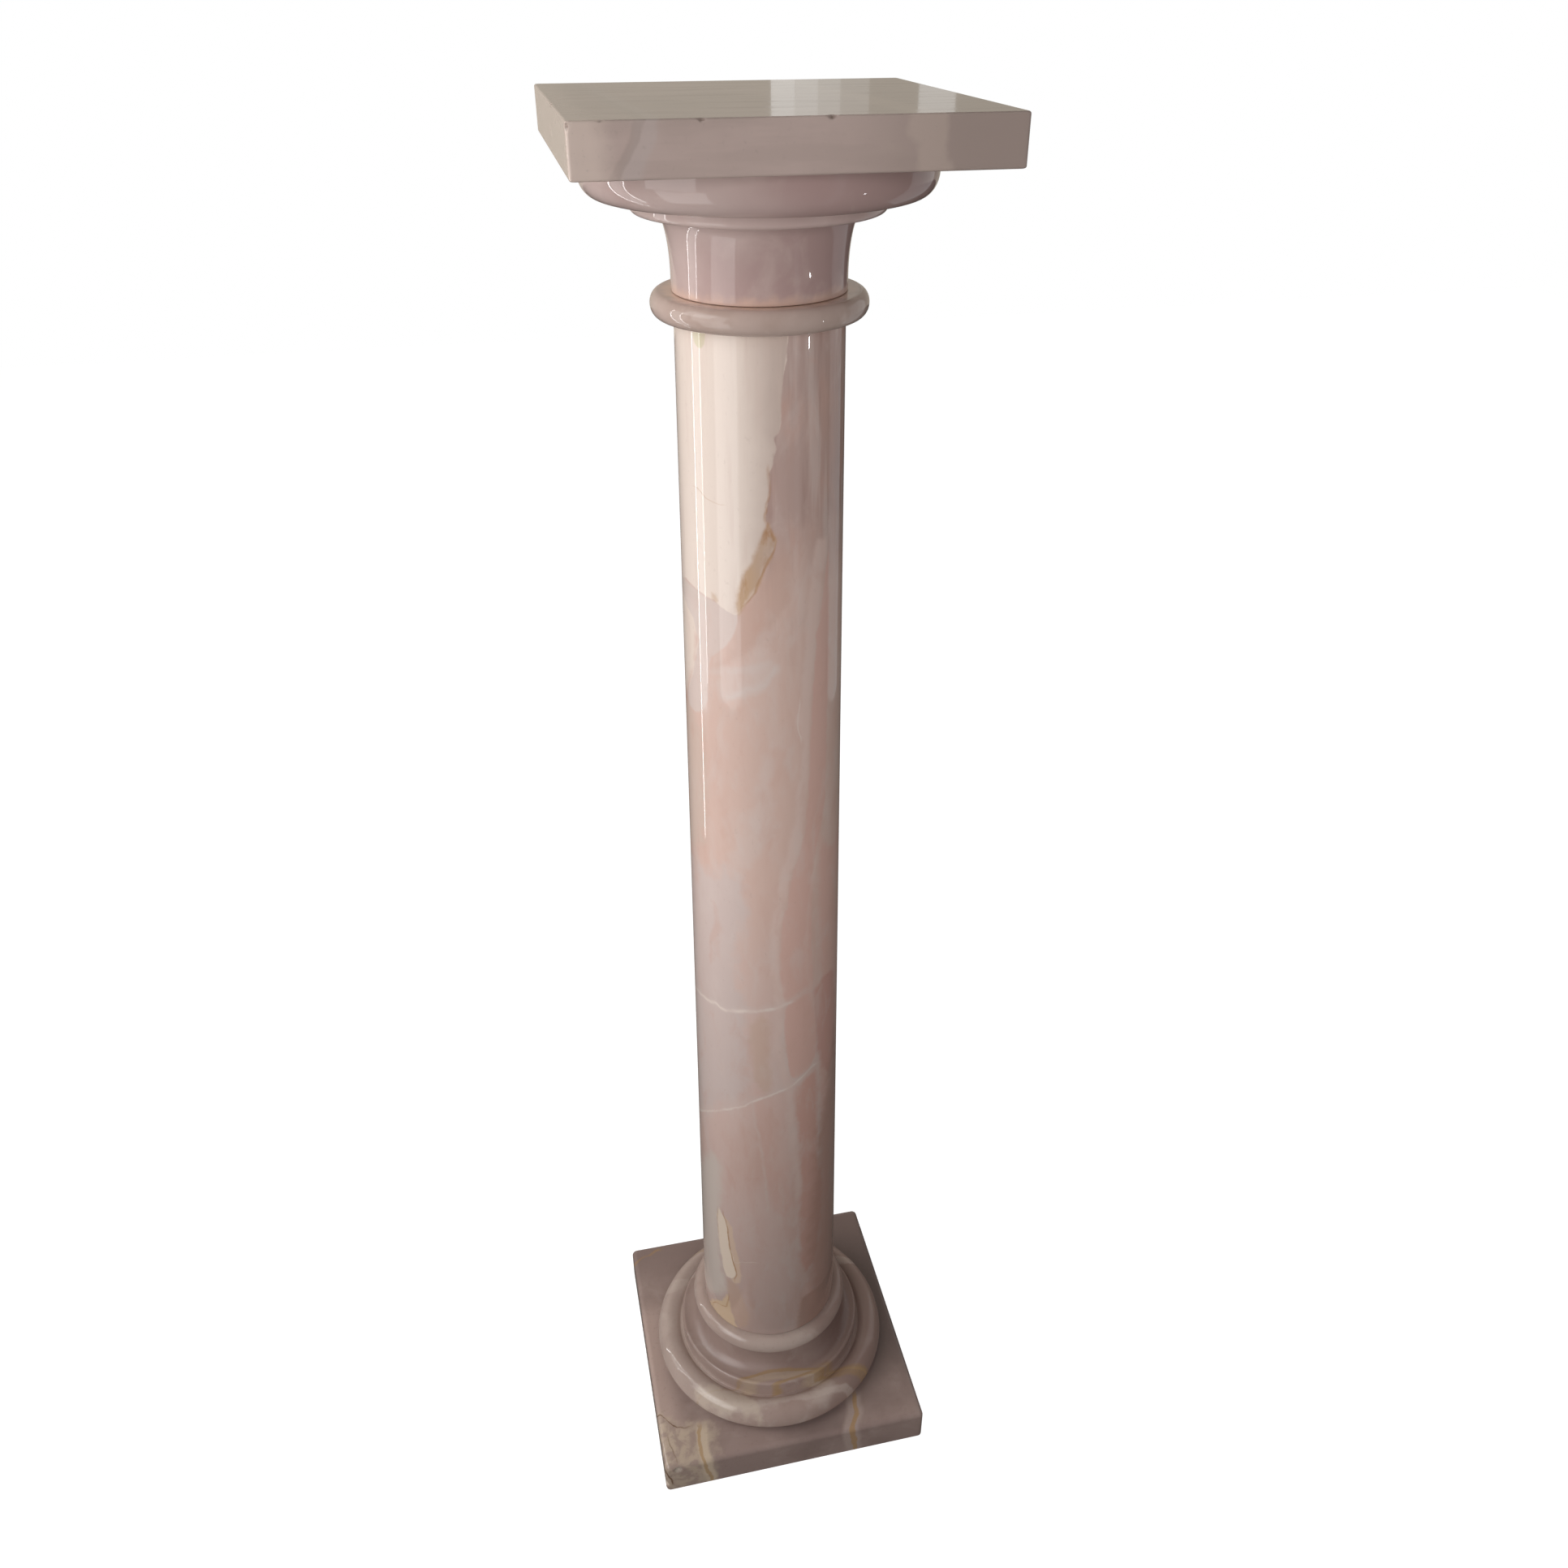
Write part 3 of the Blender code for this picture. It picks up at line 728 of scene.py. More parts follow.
finish.layer(upper_bed, -0.0665, BASE_OCHRE, 0.0014, 0.0020, right_part, 0.60)
finish.layer(upper_bed, -0.0702, BASE_OCHRE, 0.0012, 0.0034, left_part, 0.35)
finish.patch("cream_wedge", BASE_CREAM, 0.0035, 0.0050, 0.62)
finish.layer(back_bed, 0.0480, BASE_PALE, 0.0050, 0.0060, strength=0.40)
finish.layer(back_bed, 0.0820, BASE_OCHRE, 0.0022, 0.0050, strength=0.35)
finish.patch("pale_wedge", BASE_PALE, 0.0035, 0.0026, 0.5)
to_the_right = finish.rise(sideways, 0.010, 0.055)
to_the_left = finish.rise(finish.maths("MULTIPLY", sideways, -1.0), 0.020, 0.055)
in_scotia = finish.between(level_there, scotia_level, bead_level, 0.0012)
# Painted shade: the scotia darkened, more so towards the right.
finish.wash(BASE_HOLLOW_SHADE, in_scotia, finish.maths("MULTIPLY_ADD", to_the_right, 0.40, 0.34))
finish.feed(finish.shader.inputs["Roughness"],
            finish.maths("MULTIPLY_ADD", in_scotia, SCOTIA_DULLER, BASE_ROUGHNESS))
# Painted shade on the fillet, more so towards either side.
finish.wash(BASE_HOLLOW_SHADE, finish.between(level_there, fillet_level, scotia_level, 0.0012),
            finish.maths("MAXIMUM", to_the_right, to_the_left), 0.20)
finish.mottle(0.0035, BASE_DARK, 0.55, 0.80, 0.20, detail=2.0, shift=9.0)
stone_piece("base_moulding", base_mesh, finish.polish())


# Shaft: one long stone, turned to a plain taper and polished, and glued between the base moulding
# and the neck ring. A cream bed of the onyx runs into its upper left, and pale veins and a
# greenish band run down through the mauve and pink.
SHAFT_ARRIS = 0.0006
SHAFT_FOOT_RADIUS = 0.0578
SHAFT_HEAD_RADIUS = 0.0484
MILLIMETRE = 0.001
SHAFT_STEP = 0.0021             # spacing of the points up the shaft
VEIN_FADE = 0.006               # length over which a vein fades beyond its ends
SHAFT_ROUGHNESS = 0.035
SHAFT_TOP_GROUND = paint(202, 174, 165)
SHAFT_PINK = paint(230, 199, 186)
SHAFT_GREY = paint(230, 201, 191)
SHAFT_BROWN = paint(231, 190, 177)
SHAFT_GREEN = paint(236, 209, 198)
SHAFT_CREAM = paint(247, 230, 218)
SHAFT_LILAC = paint(231, 213, 205)
SHAFT_TAN = paint(204, 164, 124)
SHAFT_RUST = paint(186, 134, 88)
SHAFT_VEIN = paint(244, 228, 218)
SHAFT_ROSE = paint(220, 178, 162)
SHAFT_STREAK = paint(176, 142, 132)
SHAFT_CREAM_SHADE = paint(208, 186, 175)
SHAFT_CREAM_STREAK = paint(232, 210, 198)
SHAFT_SPECK = paint(160, 130, 112)
FOOT_RUST = paint(158, 112, 66)
SHAFT_FOOT_SHADE = 0.55         # how much of its light the stone keeps at its darker foot
FULLY_SHADED, NOT_SHADED = 0.11, 0.58    # heights

shaft_low, shaft_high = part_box("shaft")
shaft_foot, shaft_head = shaft_low[2], shaft_high[2]
shaft_mesh = turned_skin("shaft", [
    (SHAFT_HEAD_RADIUS - SHAFT_ARRIS, shaft_head), (SHAFT_HEAD_RADIUS, shaft_head - SHAFT_ARRIS),
    (SHAFT_FOOT_RADIUS, shaft_foot + SHAFT_ARRIS), (SHAFT_FOOT_RADIUS - SHAFT_ARRIS, shaft_foot)],
    SHAFT_STEP)
spots = points_of(shaft_mesh)
ARC_PER_DEGREE = math.radians((SHAFT_FOOT_RADIUS + SHAFT_HEAD_RADIUS) / 2)
around = np.degrees(np.arctan2(spots[:, 0], -spots[:, 1])) * ARC_PER_DEGREE
unrolled = np.stack([around, spots[:, 2]], axis=-1)


def on_shaft(points):
    """Points given as (degrees from the front, millimetres up), in metres along the surface."""
    return np.array(points, dtype=float) * (ARC_PER_DEGREE, MILLIMETRE)


# Patches: name, tint, softness of the edge, wobble, strength and outline.
SHAFT_PATCHES = [
    ("right_flank", SHAFT_BROWN, 0.0040, 0.0030, 0.90, [
        (33, 612), (40, 600), (52, 592), (64, 612), (76, 660), (90, 730), (98, 765), (106, 720),
        (114, 640), (128, 560), (138, 500), (150, 400), (140, 260), (152, 160), (146, 98),
        (24, 98), (22, 130), (30, 180), (36, 205), (40, 240), (40, 280), (38, 330), (37, 400),
        (38, 470), (34, 540)]),
    ("lilac_bed", paint(223, 205, 199), 0.0075, 0.0060, 0.80, [
        (-138, 540), (-124, 566), (-106, 592), (-90, 583), (-75, 588), (-65, 580), (-55, 585),
        (-45, 590), (-38, 588), (-30, 584), (-25, 570), (-26, 550), (-32, 530), (-36, 510),
        (-34, 495), (-30, 480), (-27, 450), (-25, 420), (-26, 385), (-60, 356), (-100, 326),
        (-120, 280), (-136, 330), (-146, 410), (-150, 480)]),
    ("left_beige", paint(222, 204, 191), 0.0060, 0.0040, 0.55, [
        (-96, 702), (-84, 704), (-62, 692), (-58, 655), (-64, 604), (-90, 590), (-110, 604),
        (-126, 640), (-120, 672)]),
    ("lilac_cloud", SHAFT_LILAC, 0.0050, 0.0050, 0.42, [
        (-42, 600), (-38, 588), (-28, 585), (-22, 600), (-14, 612), (-8, 628), (-6, 645),
        (-8, 665), (-5, 680), (-12, 682), (-16, 665), (-20, 640), (-28, 622), (-36, 610)]),
    ("under_bed", paint(208, 170, 154), 0.0040, 0.0030, 0.38, [
        (-28, 779), (-20, 790), (-8, 806), (2, 824), (10, 815), (8, 795), (-2, 775), (-15, 760),
        (-30, 750), (-44, 746), (-50, 738), (-36, 750)]),
    ("swirl_lens", SHAFT_LILAC, 0.0026, 0.0024, 0.45, [
        (-42, 722), (-30, 726), (-15, 732), (-3, 740), (-2, 746), (-10, 748), (-25, 745),
        (-38, 740), (-46, 732)]),
    ("tan_column", paint(220, 188, 168), 0.0030, 0.0026, 0.55, [
        (-25, 455), (-24, 425), (-20, 395), (-10, 387), (-8, 400), (-9, 430), (-8, 460),
        (-15, 468)]),
    ("right_brown", paint(219, 169, 157), 0.0030, 0.0030, 0.78, [
        (28, 479), (38, 486), (56, 484), (62, 440), (60, 396), (48, 385), (36, 404), (31, 428),
        (29, 450)]),
    ("left_flank", paint(246, 229, 216), 0.0040, 0.0030, 0.90, [
        (-62, 776), (-66, 755), (-70, 735), (-84, 716), (-98, 700), (-110, 676), (-122, 640),
        (-130, 660), (-132, 700), (-130, 745), (-124, 778), (-112, 784)]),
    ("green_band", SHAFT_GREEN, 0.0024, 0.0018, 0.75, [
        (40, 822), (38, 812), (36, 800), (33.5, 785), (31, 775), (31, 768), (28, 762),
        (27.5, 750), (26, 735), (25, 725), (24, 712), (24, 700), (22.5, 688), (22.5, 672),
        (22, 660), (21, 645), (20, 632), (19, 618), (16, 610), (12, 598), (8, 590), (6, 580),
        (5, 570), (3, 560), (1, 552), (-1, 540), (-2, 525), (-1.5, 505), (0, 490), (3, 478),
        (0, 470), (-4, 470), (-6, 490), (-8, 520), (-7, 545), (-4, 565), (-2, 580), (1, 595),
        (5, 610), (9, 625), (12, 640), (14, 655), (15, 670), (17, 685), (15, 697), (13, 705),
        (15, 715), (17, 730), (19, 750), (20, 770), (22, 790), (25, 810), (29, 822)]),
    ("brown_band", SHAFT_BROWN, 0.0012, 0.0014, 0.85, [
        (41, 812), (42, 780), (42, 740), (41, 700), (40, 660), (38, 630), (33, 612), (29, 600),
        (27, 585), (26, 560), (25.5, 540), (26, 520), (27, 500), (28, 485), (26, 480), (15, 479),
        (5, 476), (2, 484), (-0.5, 500), (-1, 525), (0, 540), (2, 552), (4, 560), (6, 570),
        (7, 580), (9, 590), (13, 598), (17, 610), (20, 618), (21, 632), (22, 645), (23, 660),
        (23.5, 688), (25, 700), (25, 712), (26, 725), (27, 735), (28.5, 750), (29, 762),
        (32, 768), (32, 775), (34.5, 785), (37, 800)]),
    ("middle_brown", SHAFT_BROWN, 0.0010, 0.0008, 0.95, [
        (3, 470), (6, 476), (12, 478.5), (20, 479.5), (26, 479), (28, 472), (29.5, 455),
        (31, 440), (31.5, 425), (30, 414), (26, 407), (20, 403), (14, 400), (11, 399.5),
        (8, 404), (6, 412), (4.5, 425), (3, 440), (2.5, 455)]),
    ("lower_brown", paint(225, 179, 165), 0.0028, 0.0024, 0.95, [
        (12, 391), (22, 396), (30, 400), (34, 390), (34, 350), (36, 310), (40, 280), (40, 240),
        (36, 205), (30, 180), (22, 175), (16, 190), (15, 230), (16, 270), (17, 300), (15, 330),
        (12, 360)]),
    ("soft_brown", SHAFT_BROWN, 0.0030, 0.0024, 0.40, [
        (-22, 396), (-10, 388), (0, 391), (4, 388), (5, 370), (6, 350), (5, 320), (6, 290),
        (8, 265), (2, 250), (-8, 262), (-13, 290), (-17, 320), (-19, 350), (-21, 375)]),
    ("lilac_wedge", SHAFT_LILAC, 0.0010, 0.0010, 0.80, [
        (-29, 783), (-30, 772), (-33, 764), (-38, 758), (-44, 753), (-50, 747), (-53, 741),
        (-54, 730), (-55, 715), (-60, 706), (-70, 702), (-80, 703), (-84, 709), (-80, 717),
        (-72, 728), (-68, 740), (-63, 755), (-70, 768), (-85, 776), (-104, 780), (-104, 792)]),
    ("cream_bed", SHAFT_CREAM, 0.0007, 0.0009, 1.0, [
        (6.5, 960), (6, 940), (5, 930), (3.5, 922), (2, 912), (1.5, 903), (1.5, 895), (0, 889),
        (-3, 886), (-3.2, 883), (-1.5, 881), (-3, 876), (-4, 871), (-7, 866), (-6.5, 861),
        (-7, 852), (-9, 845), (-9.5, 839), (-7.5, 835), (-4, 830), (-2.5, 826), (-4, 820),
        (-7.5, 814), (-11, 807), (-14, 800), (-17, 794), (-22, 788), (-26, 783), (-28, 780),
        (-31, 779), (-36, 780.5), (-41, 782), (-46, 785.5), (-52, 786), (-60, 788), (-70, 790),
        (-80, 790.5), (-90, 788), (-100, 785), (-112, 779), (-122, 784), (-130, 802),
        (-136, 830), (-141, 872), (-138, 915), (-142, 960)]),
    ("tan_edge", SHAFT_TAN, 0.0020, 0.0020, 0.85, [
        (-7, 838), (-2.5, 826), (-4, 820), (-7.5, 814), (-11, 807), (-14, 800), (-17, 794),
        (-22, 788), (-26, 783), (-28, 780), (-30, 785), (-29, 792), (-27, 798), (-24, 804),
        (-19, 813), (-14, 822), (-11, 831)]),
    ("tan_spot", SHAFT_TAN, 0.0010, 0.0008, 0.40, [
        (-50, 790.5), (-46, 790), (-43, 786.5), (-45, 784.5), (-49, 786)]),
    ("yellow_spot", paint(226, 216, 184), 0.0006, 0.0005, 0.80, [
        (-61, 939), (-60, 935), (-57, 932), (-53, 931.5), (-50, 934), (-49, 938), (-49, 946),
        (-61, 946)]),
]
# Patches near the foot, laid on after the stone has been darkened there.
FOOT_PATCHES = [
    ("grey_flank", paint(199, 187, 178), 0.0060, 0.0036, 0.85, [
        (-55, 272), (-57, 250), (-58, 235), (-58, 200), (-54, 168), (-50, 150), (-60, 128),
        (-80, 118), (-105, 120), (-118, 160), (-116, 206), (-104, 240), (-88, 268), (-74, 292),
        (-62, 304), (-54, 296)]),
    ("between_flares", paint(184, 155, 137), 0.0026, 0.0024, 0.65, [
        (-50, 162), (-44, 164), (-38, 160), (-34, 150), (-30, 135), (-30, 112), (-38, 104),
        (-43, 112), (-46, 122), (-47, 136), (-50, 150)]),
    ("foot_brown", paint(146, 114, 100), 0.0030, 0.0020, 0.60, [
        (17, 142), (32, 141), (60, 144), (90, 140), (110, 98), (12, 98), (14, 120)]),
    # Painted shade: the lower right of the shaft darkened.
    ("right_foot_shade", paint(158, 122, 108), 0.0080, 0.0040, 0.50, [
        (34, 330), (46, 372), (60, 420), (72, 380), (88, 300), (100, 250), (112, 190),
        (108, 140), (30, 142), (24, 200)]),
    ("tan_flare", paint(204, 178, 156), 0.0012, 0.0012, 0.75, [
        (-52, 240), (-47, 236), (-44, 230), (-41, 214), (-38, 196), (-36, 183), (-35.5, 174),
        (-37, 165), (-42, 161), (-47, 163), (-41, 172), (-43, 190), (-46, 206), (-48, 224)]),
    ("cream_flare", paint(219, 202, 185), 0.0011, 0.0012, 0.95, [
        (-57, 246), (-55, 242), (-52, 238), (-49, 231), (-47.5, 222), (-46.5, 210), (-45, 200),
        (-43, 190), (-41, 181), (-40, 174), (-41.5, 169), (-45, 165.5), (-50, 164), (-53, 170),
        (-55, 180), (-57, 195), (-59, 210), (-60, 225), (-60, 236)]),
    ("foot_flare", paint(204, 178, 148), 0.0014, 0.0018, 0.90, [
        (-50, 141), (-48.5, 136), (-47.5, 128), (-47, 120), (-43, 112), (-40, 103), (-39, 98),
        (-80, 98), (-78, 104), (-74, 110), (-70, 116), (-66, 120), (-61, 123), (-57, 127),
        (-54, 134)]),
]
# Veins: name, tint, width, wobble, strength, whether it runs up the shaft, and its points.
SHAFT_VEINS = [
    ("upper_halo", SHAFT_LILAC, 0.0060, 0.0010, 0.40, False, [
        (-100, 456), (-80, 461), (-60, 465), (-40, 467), (-20, 471), (5, 477), (20, 482)]),
    ("upper_vein", SHAFT_VEIN, 0.0023, 0.0010, 1.00, False, [
        (-168, 408), (-140, 430), (-124, 438), (-112, 448), (-100, 455), (-90, 457), (-80, 460),
        (-70, 463), (-60, 464), (-55, 466), (-50, 464), (-45, 464), (-40, 466), (-30, 468),
        (-20, 470), (-10, 472), (-3, 473), (5, 476)]),
    ("lower_halo", SHAFT_LILAC, 0.0060, 0.0010, 0.35, False, [
        (-100, 320), (-80, 339), (-60, 355), (-40, 370), (-18, 385), (5, 394), (28, 407)]),
    ("lower_vein", SHAFT_VEIN, 0.0021, 0.0010, 1.00, False, [
        (-166, 236), (-146, 262), (-128, 290), (-112, 306), (-100, 318), (-90, 328), (-80, 337),
        (-70, 345), (-60, 353), (-50, 361), (-40, 368), (-30, 374), (-25, 379), (-18, 383),
        (-10, 387), (-3, 390), (5, 392), (10, 394), (15, 398), (22, 402), (28, 405)]),
    ("pale_ribbon", SHAFT_GREEN, 0.0055, 0.0016, 0.75, True, [
        (0, 490), (-1, 475), (-2, 460), (-3.5, 445), (-2, 430), (0, 415), (3, 402), (6, 392),
        (7, 378), (7, 365), (8, 350), (10, 330), (12, 310), (14, 290), (15, 270)]),
    ("right_ribbon", SHAFT_GREEN, 0.0030, 0.0020, 0.38, True, [
        (34, 606), (30, 592), (25, 570), (22, 545), (21, 520), (22, 500), (25, 486)]),
    ("flank_ribbon", SHAFT_LILAC, 0.0045, 0.0024, 0.40, True, [
        (33, 396), (34, 370), (34, 340), (36, 310), (38, 290)]),
    ("column_edge", SHAFT_LILAC, 0.0020, 0.0012, 0.45, True, [
        (-24, 378), (-20, 350), (-16, 325), (-13, 290), (-12, 262)]),
    ("wedge_edge", SHAFT_VEIN, 0.0016, 0.0010, 0.60, True, [
        (-62, 760), (-67, 745), (-72, 730), (-80, 716)]),
    ("swirl", SHAFT_LILAC, 0.0060, 0.0014, 0.85, False, [
        (-40, 722), (-33, 724), (-25, 727), (-17, 730), (-10, 733.5), (-6, 738), (-4, 743)]),
    ("upper_swirl", SHAFT_LILAC, 0.0050, 0.0016, 0.45, False, [
        (-52, 737), (-42, 740), (-30, 742), (-18, 744), (-8, 748)]),
    ("grey_under_cream", paint(226, 211, 200), 0.0065, 0.0012, 0.60, False, [
        (-112, 776), (-105, 781), (-90, 784), (-80, 786), (-70, 785.5), (-60, 783.5),
        (-54, 781.5)]),
    ("band_flaw", SHAFT_VEIN, 0.0009, 0.0004, 0.60, True, [
        (15, 716), (13.5, 708), (13, 701), (14, 697), (16, 693)]),
    ("cream_rim", SHAFT_RUST, 0.0016, 0.0010, 0.55, True, [
        (-7, 866), (-6.5, 861), (-7, 852), (-9, 845), (-9.5, 839), (-7.5, 835), (-2.5, 826),
        (-4, 820), (-7.5, 814), (-11, 807), (-14, 800), (-17, 794), (-22, 788), (-26, 784),
        (-28.5, 780)]),
    ("hair_crack", SHAFT_TAN, 0.0006, 0.0006, 0.45, False, [
        (-60, 852), (-52, 848), (-42, 846)]),
]
FOOT_VEINS = [
    ("flare_rim", FOOT_RUST, 0.0012, 0.0005, 0.85, True, [
        (-53, 240), (-50, 234), (-48, 225), (-47, 212), (-45.5, 200), (-43.5, 190), (-41, 180),
        (-40, 173), (-42, 168)]),
    ("flare_left_rim", FOOT_RUST, 0.0010, 0.0006, 0.40, True, [
        (-59, 240), (-60, 228), (-58.5, 210)]),
    ("notch", paint(206, 188, 176), 0.0009, 0.0003, 0.60, False, [
        (-38.5, 189), (-36, 192), (-32, 193.5), (-24.5, 196)]),
    ("foot_rim", FOOT_RUST, 0.0012, 0.0008, 0.70, True, [
        (-48, 140), (-49, 132), (-51, 124), (-55, 121), (-60, 119), (-66, 116), (-70, 110)]),
]


def lay_patches(patches):
    """Mark each patch on the shaft's mesh and lay it on."""
    for name, tint, edge, wobble, strength, outline in patches:
        set_mark(shaft_mesh, name, depth_inside(unrolled, on_shaft(outline)))
        finish.patch(name, tint, edge, wobble, strength)


def lay_veins(veins):
    """Mark each vein on the shaft's mesh and lay it on."""
    for name, tint, width, wobble, strength, upright, line in veins:
        along, aside = (1, 0) if upright else (0, 1)
        line = on_shaft(line)[:, [along, aside]].tolist()
        set_mark(shaft_mesh, name, *run_of_vein(unrolled[:, along], unrolled[:, aside], line,
                                                VEIN_FADE))
        finish.vein(name, tint, width, wobble, strength)


finish = StoneFinish("shaft onyx", SHAFT_GREY, SHAFT_ROUGHNESS)
_, _, upward = finish.split(finish.place)
rising = finish.wavy(upward, 0.060, 0.030)
finish.lay(finish.rise(rising, 0.38, 0.62), SHAFT_PINK)
finish.lay(finish.rise(rising, 0.76, 0.86), SHAFT_TOP_GROUND)
finish.mottle(0.040, SHAFT_ROSE, 0.48, 0.70, 0.50, detail=5.0, stretch=(1.0, 1.0, 4.0))
finish.mottle(0.030, SHAFT_LILAC, 0.48, 0.74, 0.50, detail=5.0, stretch=(1.0, 1.0, 2.5), shift=4.0,
              distortion=0.6)
high_up = finish.rise(rising, 0.74, 0.84)
for tint, shift in ((SHAFT_STREAK, 2.0), (SHAFT_LILAC, 8.0)):
    drawn = finish.cloud(0.008, detail=4.0, stretch=(1.0, 1.0, 14.0), shift=shift)
    finish.wash(tint, high_up, finish.rise(drawn, 0.50, 0.68), 0.45)
lay_patches(SHAFT_PATCHES)
in_cream = finish.rise(finish.marked("cream_bed")[0], -0.0005, 0.0005)
outside_cream = finish.rest(in_cream)
for tint, shift in ((SHAFT_ROSE, 11.0), (SHAFT_LILAC, 13.0)):
    wisps = finish.cloud(0.015, detail=6.0, stretch=(1.0, 1.0, 2.2), shift=shift, distortion=0.5)
    finish.wash(tint, outside_cream, finish.rise(wisps, 0.50, 0.74), 0.36)
set_mark(shaft_mesh, "turn", around)
turned_away = finish.wavy(finish.marked("turn")[0], 0.030, 0.004)
# Painted shade: the cream bed darker towards its right, where it turns from the light.
finish.wash(SHAFT_CREAM_SHADE, in_cream, finish.rise(turned_away, -0.026, 0.002), 0.75)
drawn = finish.cloud(0.009, detail=5.0, stretch=(1.0, 1.0, 10.0), shift=6.0)
finish.wash(SHAFT_CREAM_STREAK, in_cream, finish.rise(drawn, 0.46, 0.70), 0.55)
rusty = finish.cloud(0.012, detail=6.0, stretch=(1.0, 1.0, 2.0), shift=2.0)
finish.wash(SHAFT_RUST, finish.rise(finish.marked("tan_edge")[0], -0.001, 0.001),
            finish.rise(rusty, 0.44, 0.64), 0.8)
lay_veins(SHAFT_VEINS)
finish.deepen(upward, FULLY_SHADED, NOT_SHADED, SHAFT_FOOT_SHADE)
lay_patches(FOOT_PATCHES)
lay_veins(FOOT_VEINS)
finish.mottle(0.0030, SHAFT_SPECK, 0.62, 0.86, 0.14, detail=2.0, stretch=(1.0, 1.0, 1.6), shift=9.0)
stone_piece("shaft", shaft_mesh, finish.polish())


# Neck ring: a disc of the same onyx, turned on the lathe to a half-round rim and polished. It is
# glued between the shaft and the capital, and old glue has stained its top next to the neck; the
# stain is paler than the stone, as painted light against the shade in the crevice.
RING_RIM = 0.0050
GLUE_SPREAD = 0.0045            # past the foot of the capital
RING_ROUGHNESS = 0.045
RING_GROUND = paint(200, 178, 168)
RING_DARK = paint(184, 160, 148)
GLUE_STAIN_AND_LIGHT = paint(250, 212, 184)

ring_low, ring_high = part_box("neck_ring")
ring_radius = (ring_high[0] - ring_low[0]) / 2
ring_foot, ring_head = ring_low[2], ring_high[2]
half_height = (ring_head - ring_foot) / 2
outline = curve((ring_radius - RING_RIM, ring_foot + half_height), RING_RIM, half_height,
                math.pi / 2, -math.pi / 2)
ring_mesh = turned_skin("neck_ring", outline)
spots = points_of(ring_mesh)
set_mark(ring_mesh, "glue", SHAFT_HEAD_RADIUS + GLUE_SPREAD - np.hypot(spots[:, 0], spots[:, 1]))
finish = StoneFinish("ring onyx", RING_GROUND, RING_ROUGHNESS)
finish.mottle(0.030, RING_DARK, 0.42, 0.70, 0.7, detail=4.0)
finish.mottle(0.020, SHAFT_LILAC, 0.52, 0.78, 0.5, detail=4.0, shift=2.0)
# The glue stain, warm and also paler than the ring: painted light against the shade of the crevice.
finish.patch("glue", GLUE_STAIN_AND_LIGHT, 0.0030, 0.0034, 0.35)
stone_piece("neck_ring", ring_mesh, finish.polish())


# Capital: one stone of mauve onyx, turned to a flared neck under a small fillet and a broad
# echinus. It is glued on the ring, and the old glue has stained its foot orange and brown; the
# stain is paler than the stone, as painted light against the shade in the crevice.
NECK_OVERHANG = 0.0007          # past the head of the shaft
NECK_RADIUS = SHAFT_HEAD_RADIUS + NECK_OVERHANG
NECK_UPRIGHT = 0.0074
NECK_FLARE_HEIGHT = 0.0330
NECK_FLARE_REACH = 0.0061
FLARE_TOP = math.radians(75)
LIST_PROJECTION = 0.0145        # small fillet, past the flare
LIST_HEIGHT = 0.0089
LIST_ROUND = 0.0027
ECHINUS_REACH = 0.0091
ECHINUS_DROP = 0.0122
ECHINUS_TUCK = math.radians(74)
CAPITAL_GROUND = paint(209, 187, 181)
CAPITAL_MAUVE = paint(184, 155, 151)
CAPITAL_PALE = paint(216, 194, 187)
LIST_PALE = paint(232, 210, 203)
CAPITAL_ROUGHNESS = 0.035
GLUE_CLIMB = 0.0034             # up the foot of the neck

capital_low, capital_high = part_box("capital")
echinus_radius = (capital_high[0] - capital_low[0]) / 2
capital_foot, capital_head = capital_low[2], capital_high[2]
flare_level = capital_foot + NECK_UPRIGHT
list_level = flare_level + NECK_FLARE_HEIGHT
soffit_level = list_level + LIST_HEIGHT
echinus_level = soffit_level + ECHINUS_DROP * math.sin(ECHINUS_TUCK)
list_radius = NECK_RADIUS + NECK_FLARE_REACH + LIST_PROJECTION
flare_reach = NECK_FLARE_REACH / (1 - math.cos(FLARE_TOP))
flare_rise = NECK_FLARE_HEIGHT / math.sin(FLARE_TOP)
outline = [(echinus_radius, capital_head)]
outline += curve((echinus_radius - ECHINUS_REACH, echinus_level), ECHINUS_REACH, ECHINUS_DROP,
                 0.0, -ECHINUS_TUCK)
outline += [(list_radius, soffit_level)]
outline += curve((list_radius - LIST_ROUND, list_level + LIST_ROUND), LIST_ROUND, LIST_ROUND,
                 0.0, -math.pi / 2)
outline += curve((NECK_RADIUS + flare_reach, flare_level), flare_reach, flare_rise,
                 math.pi - FLARE_TOP, math.pi)
outline += [(NECK_RADIUS, capital_foot)]
capital_mesh = turned_skin("capital", outline)
spots = points_of(capital_mesh)
set_mark(capital_mesh, "glue", capital_foot + GLUE_CLIMB - spots[:, 2])
finish = StoneFinish("capital onyx", CAPITAL_GROUND, CAPITAL_ROUGHNESS)
sideways, _, upward = finish.split(finish.place)
finish.mottle(0.060, CAPITAL_MAUVE, 0.46, 0.70, 0.45, detail=4.0)
# Painted shade: the capital darker and more mauve towards its right.
finish.shade(finish.wavy(sideways, 0.040, 0.012), -0.055, 0.012, CAPITAL_MAUVE, 0.90)
finish.mottle(0.030, CAPITAL_PALE, 0.50, 0.76, 0.6, detail=5.0, shift=3.0, distortion=0.4)
finish.wash(LIST_PALE, finish.between(upward, list_level - 0.001, soffit_level, 0.0008), 0.5)
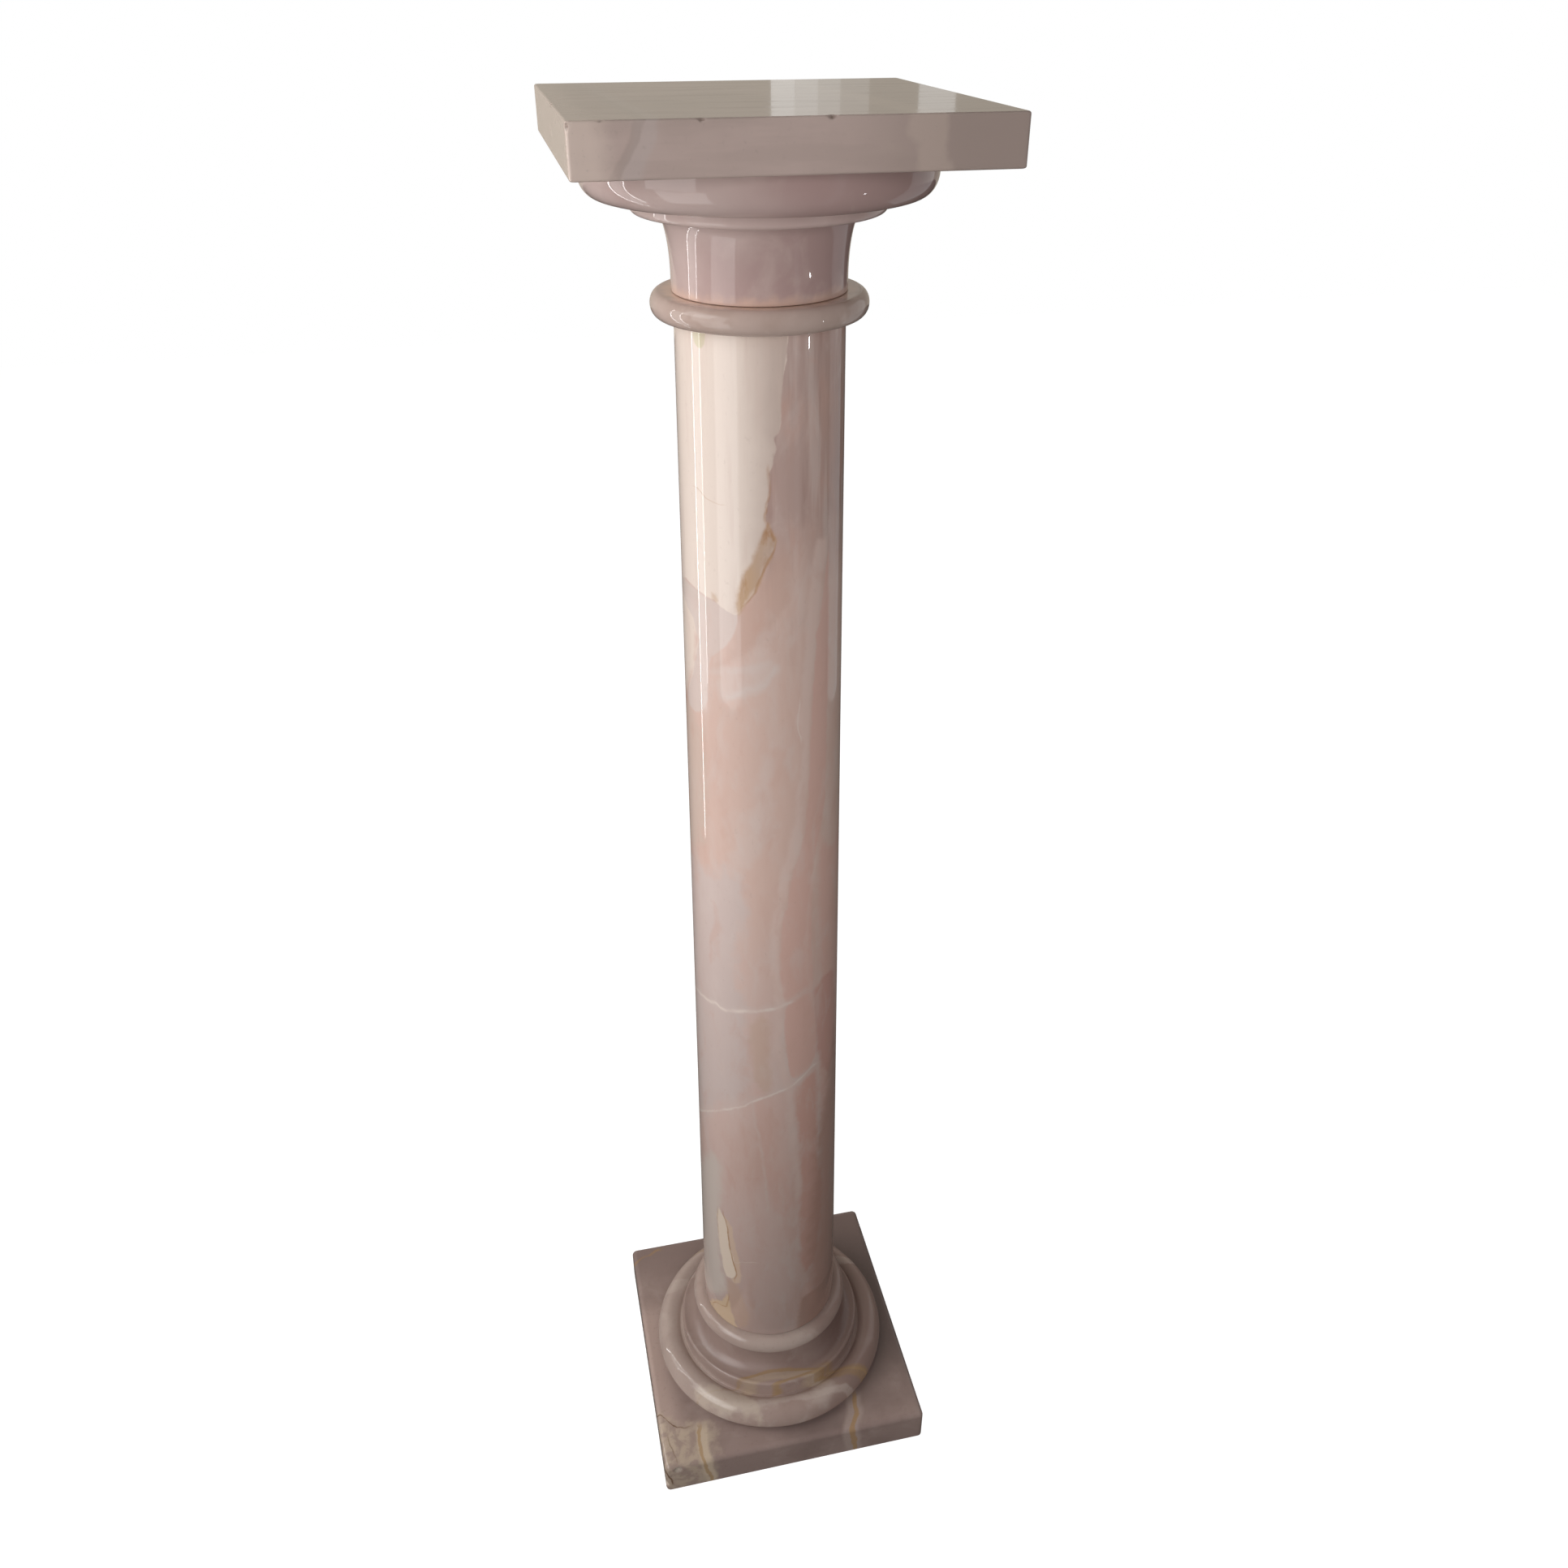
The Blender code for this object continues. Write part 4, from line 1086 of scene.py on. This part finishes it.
# The glue stain, warm and also paler than the neck: painted light against the shade of the crevice.
finish.patch("glue", GLUE_STAIN_AND_LIGHT, 0.0036, 0.0034, 0.36)
stone_piece("capital", capital_mesh, finish.polish())


# Top slab: a sawn square slab of the palest onyx with crisp arrises, polished on its face and
# edges, and glued to the capital. Its front arris has small chips from handling.
SLAB_EDGE = 0.0012
SLAB_CORNER = 0.0016
SLAB_GROUND = paint(203, 182, 174)
SLAB_DARK = paint(174, 156, 148)
SLAB_PALE = paint(212, 192, 180)
SLAB_BLUE = paint(204, 192, 188)
SLAB_CREAM = paint(230, 210, 198)
SLAB_BREAK = paint(120, 100, 88)
SLAB_ROUGHNESS = 0.04
STREAKS_DULLER = 0.09           # more roughness, where the streaks are full

slab_low, slab_high = (np.array(corner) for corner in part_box("top_slab"))
slab_half = (slab_high[0] - slab_low[0]) / 2
slab_foot, slab_top = slab_low[2], slab_high[2]
rings = slab_skin(slab_half, SLAB_CORNER,
                  slab_rows(slab_half, slab_foot, slab_top, SLAB_EDGE, SLAB_EDGE))
rings, fresh = chip_away(rings, [
    ((-0.0480, -slab_half - 0.0006, slab_top + 0.0006), 0.0022),
    ((0.0120, -slab_half - 0.0006, slab_top + 0.0006), 0.0024),
    ((-0.0930, -slab_half - 0.0006, slab_top + 0.0005), 0.0017),
    ((-slab_half - 0.0004, -0.0200, slab_top + 0.0005), 0.0020),
    ((-slab_half - 0.0005, -slab_half - 0.0005, slab_top - 0.0020), 0.0024),
    ((slab_half + 0.0004, 0.0400, slab_top + 0.0005), 0.0018),
])
slab_mesh = closed_skin("top_slab", rings)
set_mark(slab_mesh, "fresh", np.append(fresh.ravel(), [0.0, 0.0]))
finish = StoneFinish("slab onyx", SLAB_GROUND, SLAB_ROUGHNESS)
sideways, _, upward = finish.split(finish.place)
finish.mottle(0.070, SLAB_DARK, 0.40, 0.66, 0.6, detail=4.0)
finish.mottle(0.036, SLAB_PALE, 0.50, 0.78, 0.6, detail=5.0, shift=2.0, distortion=0.4)
streaks = finish.cloud(0.010, detail=5.0, stretch=(8.0, 1.4, 1.0), shift=4.0)
on_top = finish.rise(upward, slab_top - 0.001, slab_top)
finish.shade(streaks, 0.44, 0.66, SLAB_DARK, finish.maths("MULTIPLY_ADD", on_top, 0.35, 0.25))
finish.feed(finish.shader.inputs["Roughness"], finish.maths(
    "MULTIPLY_ADD", finish.rise(streaks, 0.35, 0.70), STREAKS_DULLER, SLAB_ROUGHNESS))
# Painted shade: the slab darker towards its right.
finish.shade(sideways, 0.000, 0.080, SLAB_DARK, 1.0)
finish.layer((1.0, 0.05, -0.35), -0.4450, SLAB_BLUE, 0.0080, 0.0040, strength=0.38)
finish.layer((1.0, 0.05, -0.55), -0.6580, SLAB_DARK, 0.0036, 0.0030, strength=0.45)
left_end = finish.wavy(finish.along((1.0, 0.0, 0.35)), 0.024, 0.005, detail=4.0)
finish.shade(left_end, 0.2780, 0.2620, SLAB_CREAM, 0.74)
finish.layer((1.0, 0.10, 0.15), 0.2050, SLAB_PALE, 0.0110, 0.0060, strength=0.4)
finish.mottle(0.0030, SLAB_DARK, 0.58, 0.80, 0.30, detail=2.0, shift=9.0)
finish.lay(finish.marked("fresh")[0], SLAB_BREAK)
stone_piece("top_slab", slab_mesh, finish.polish())
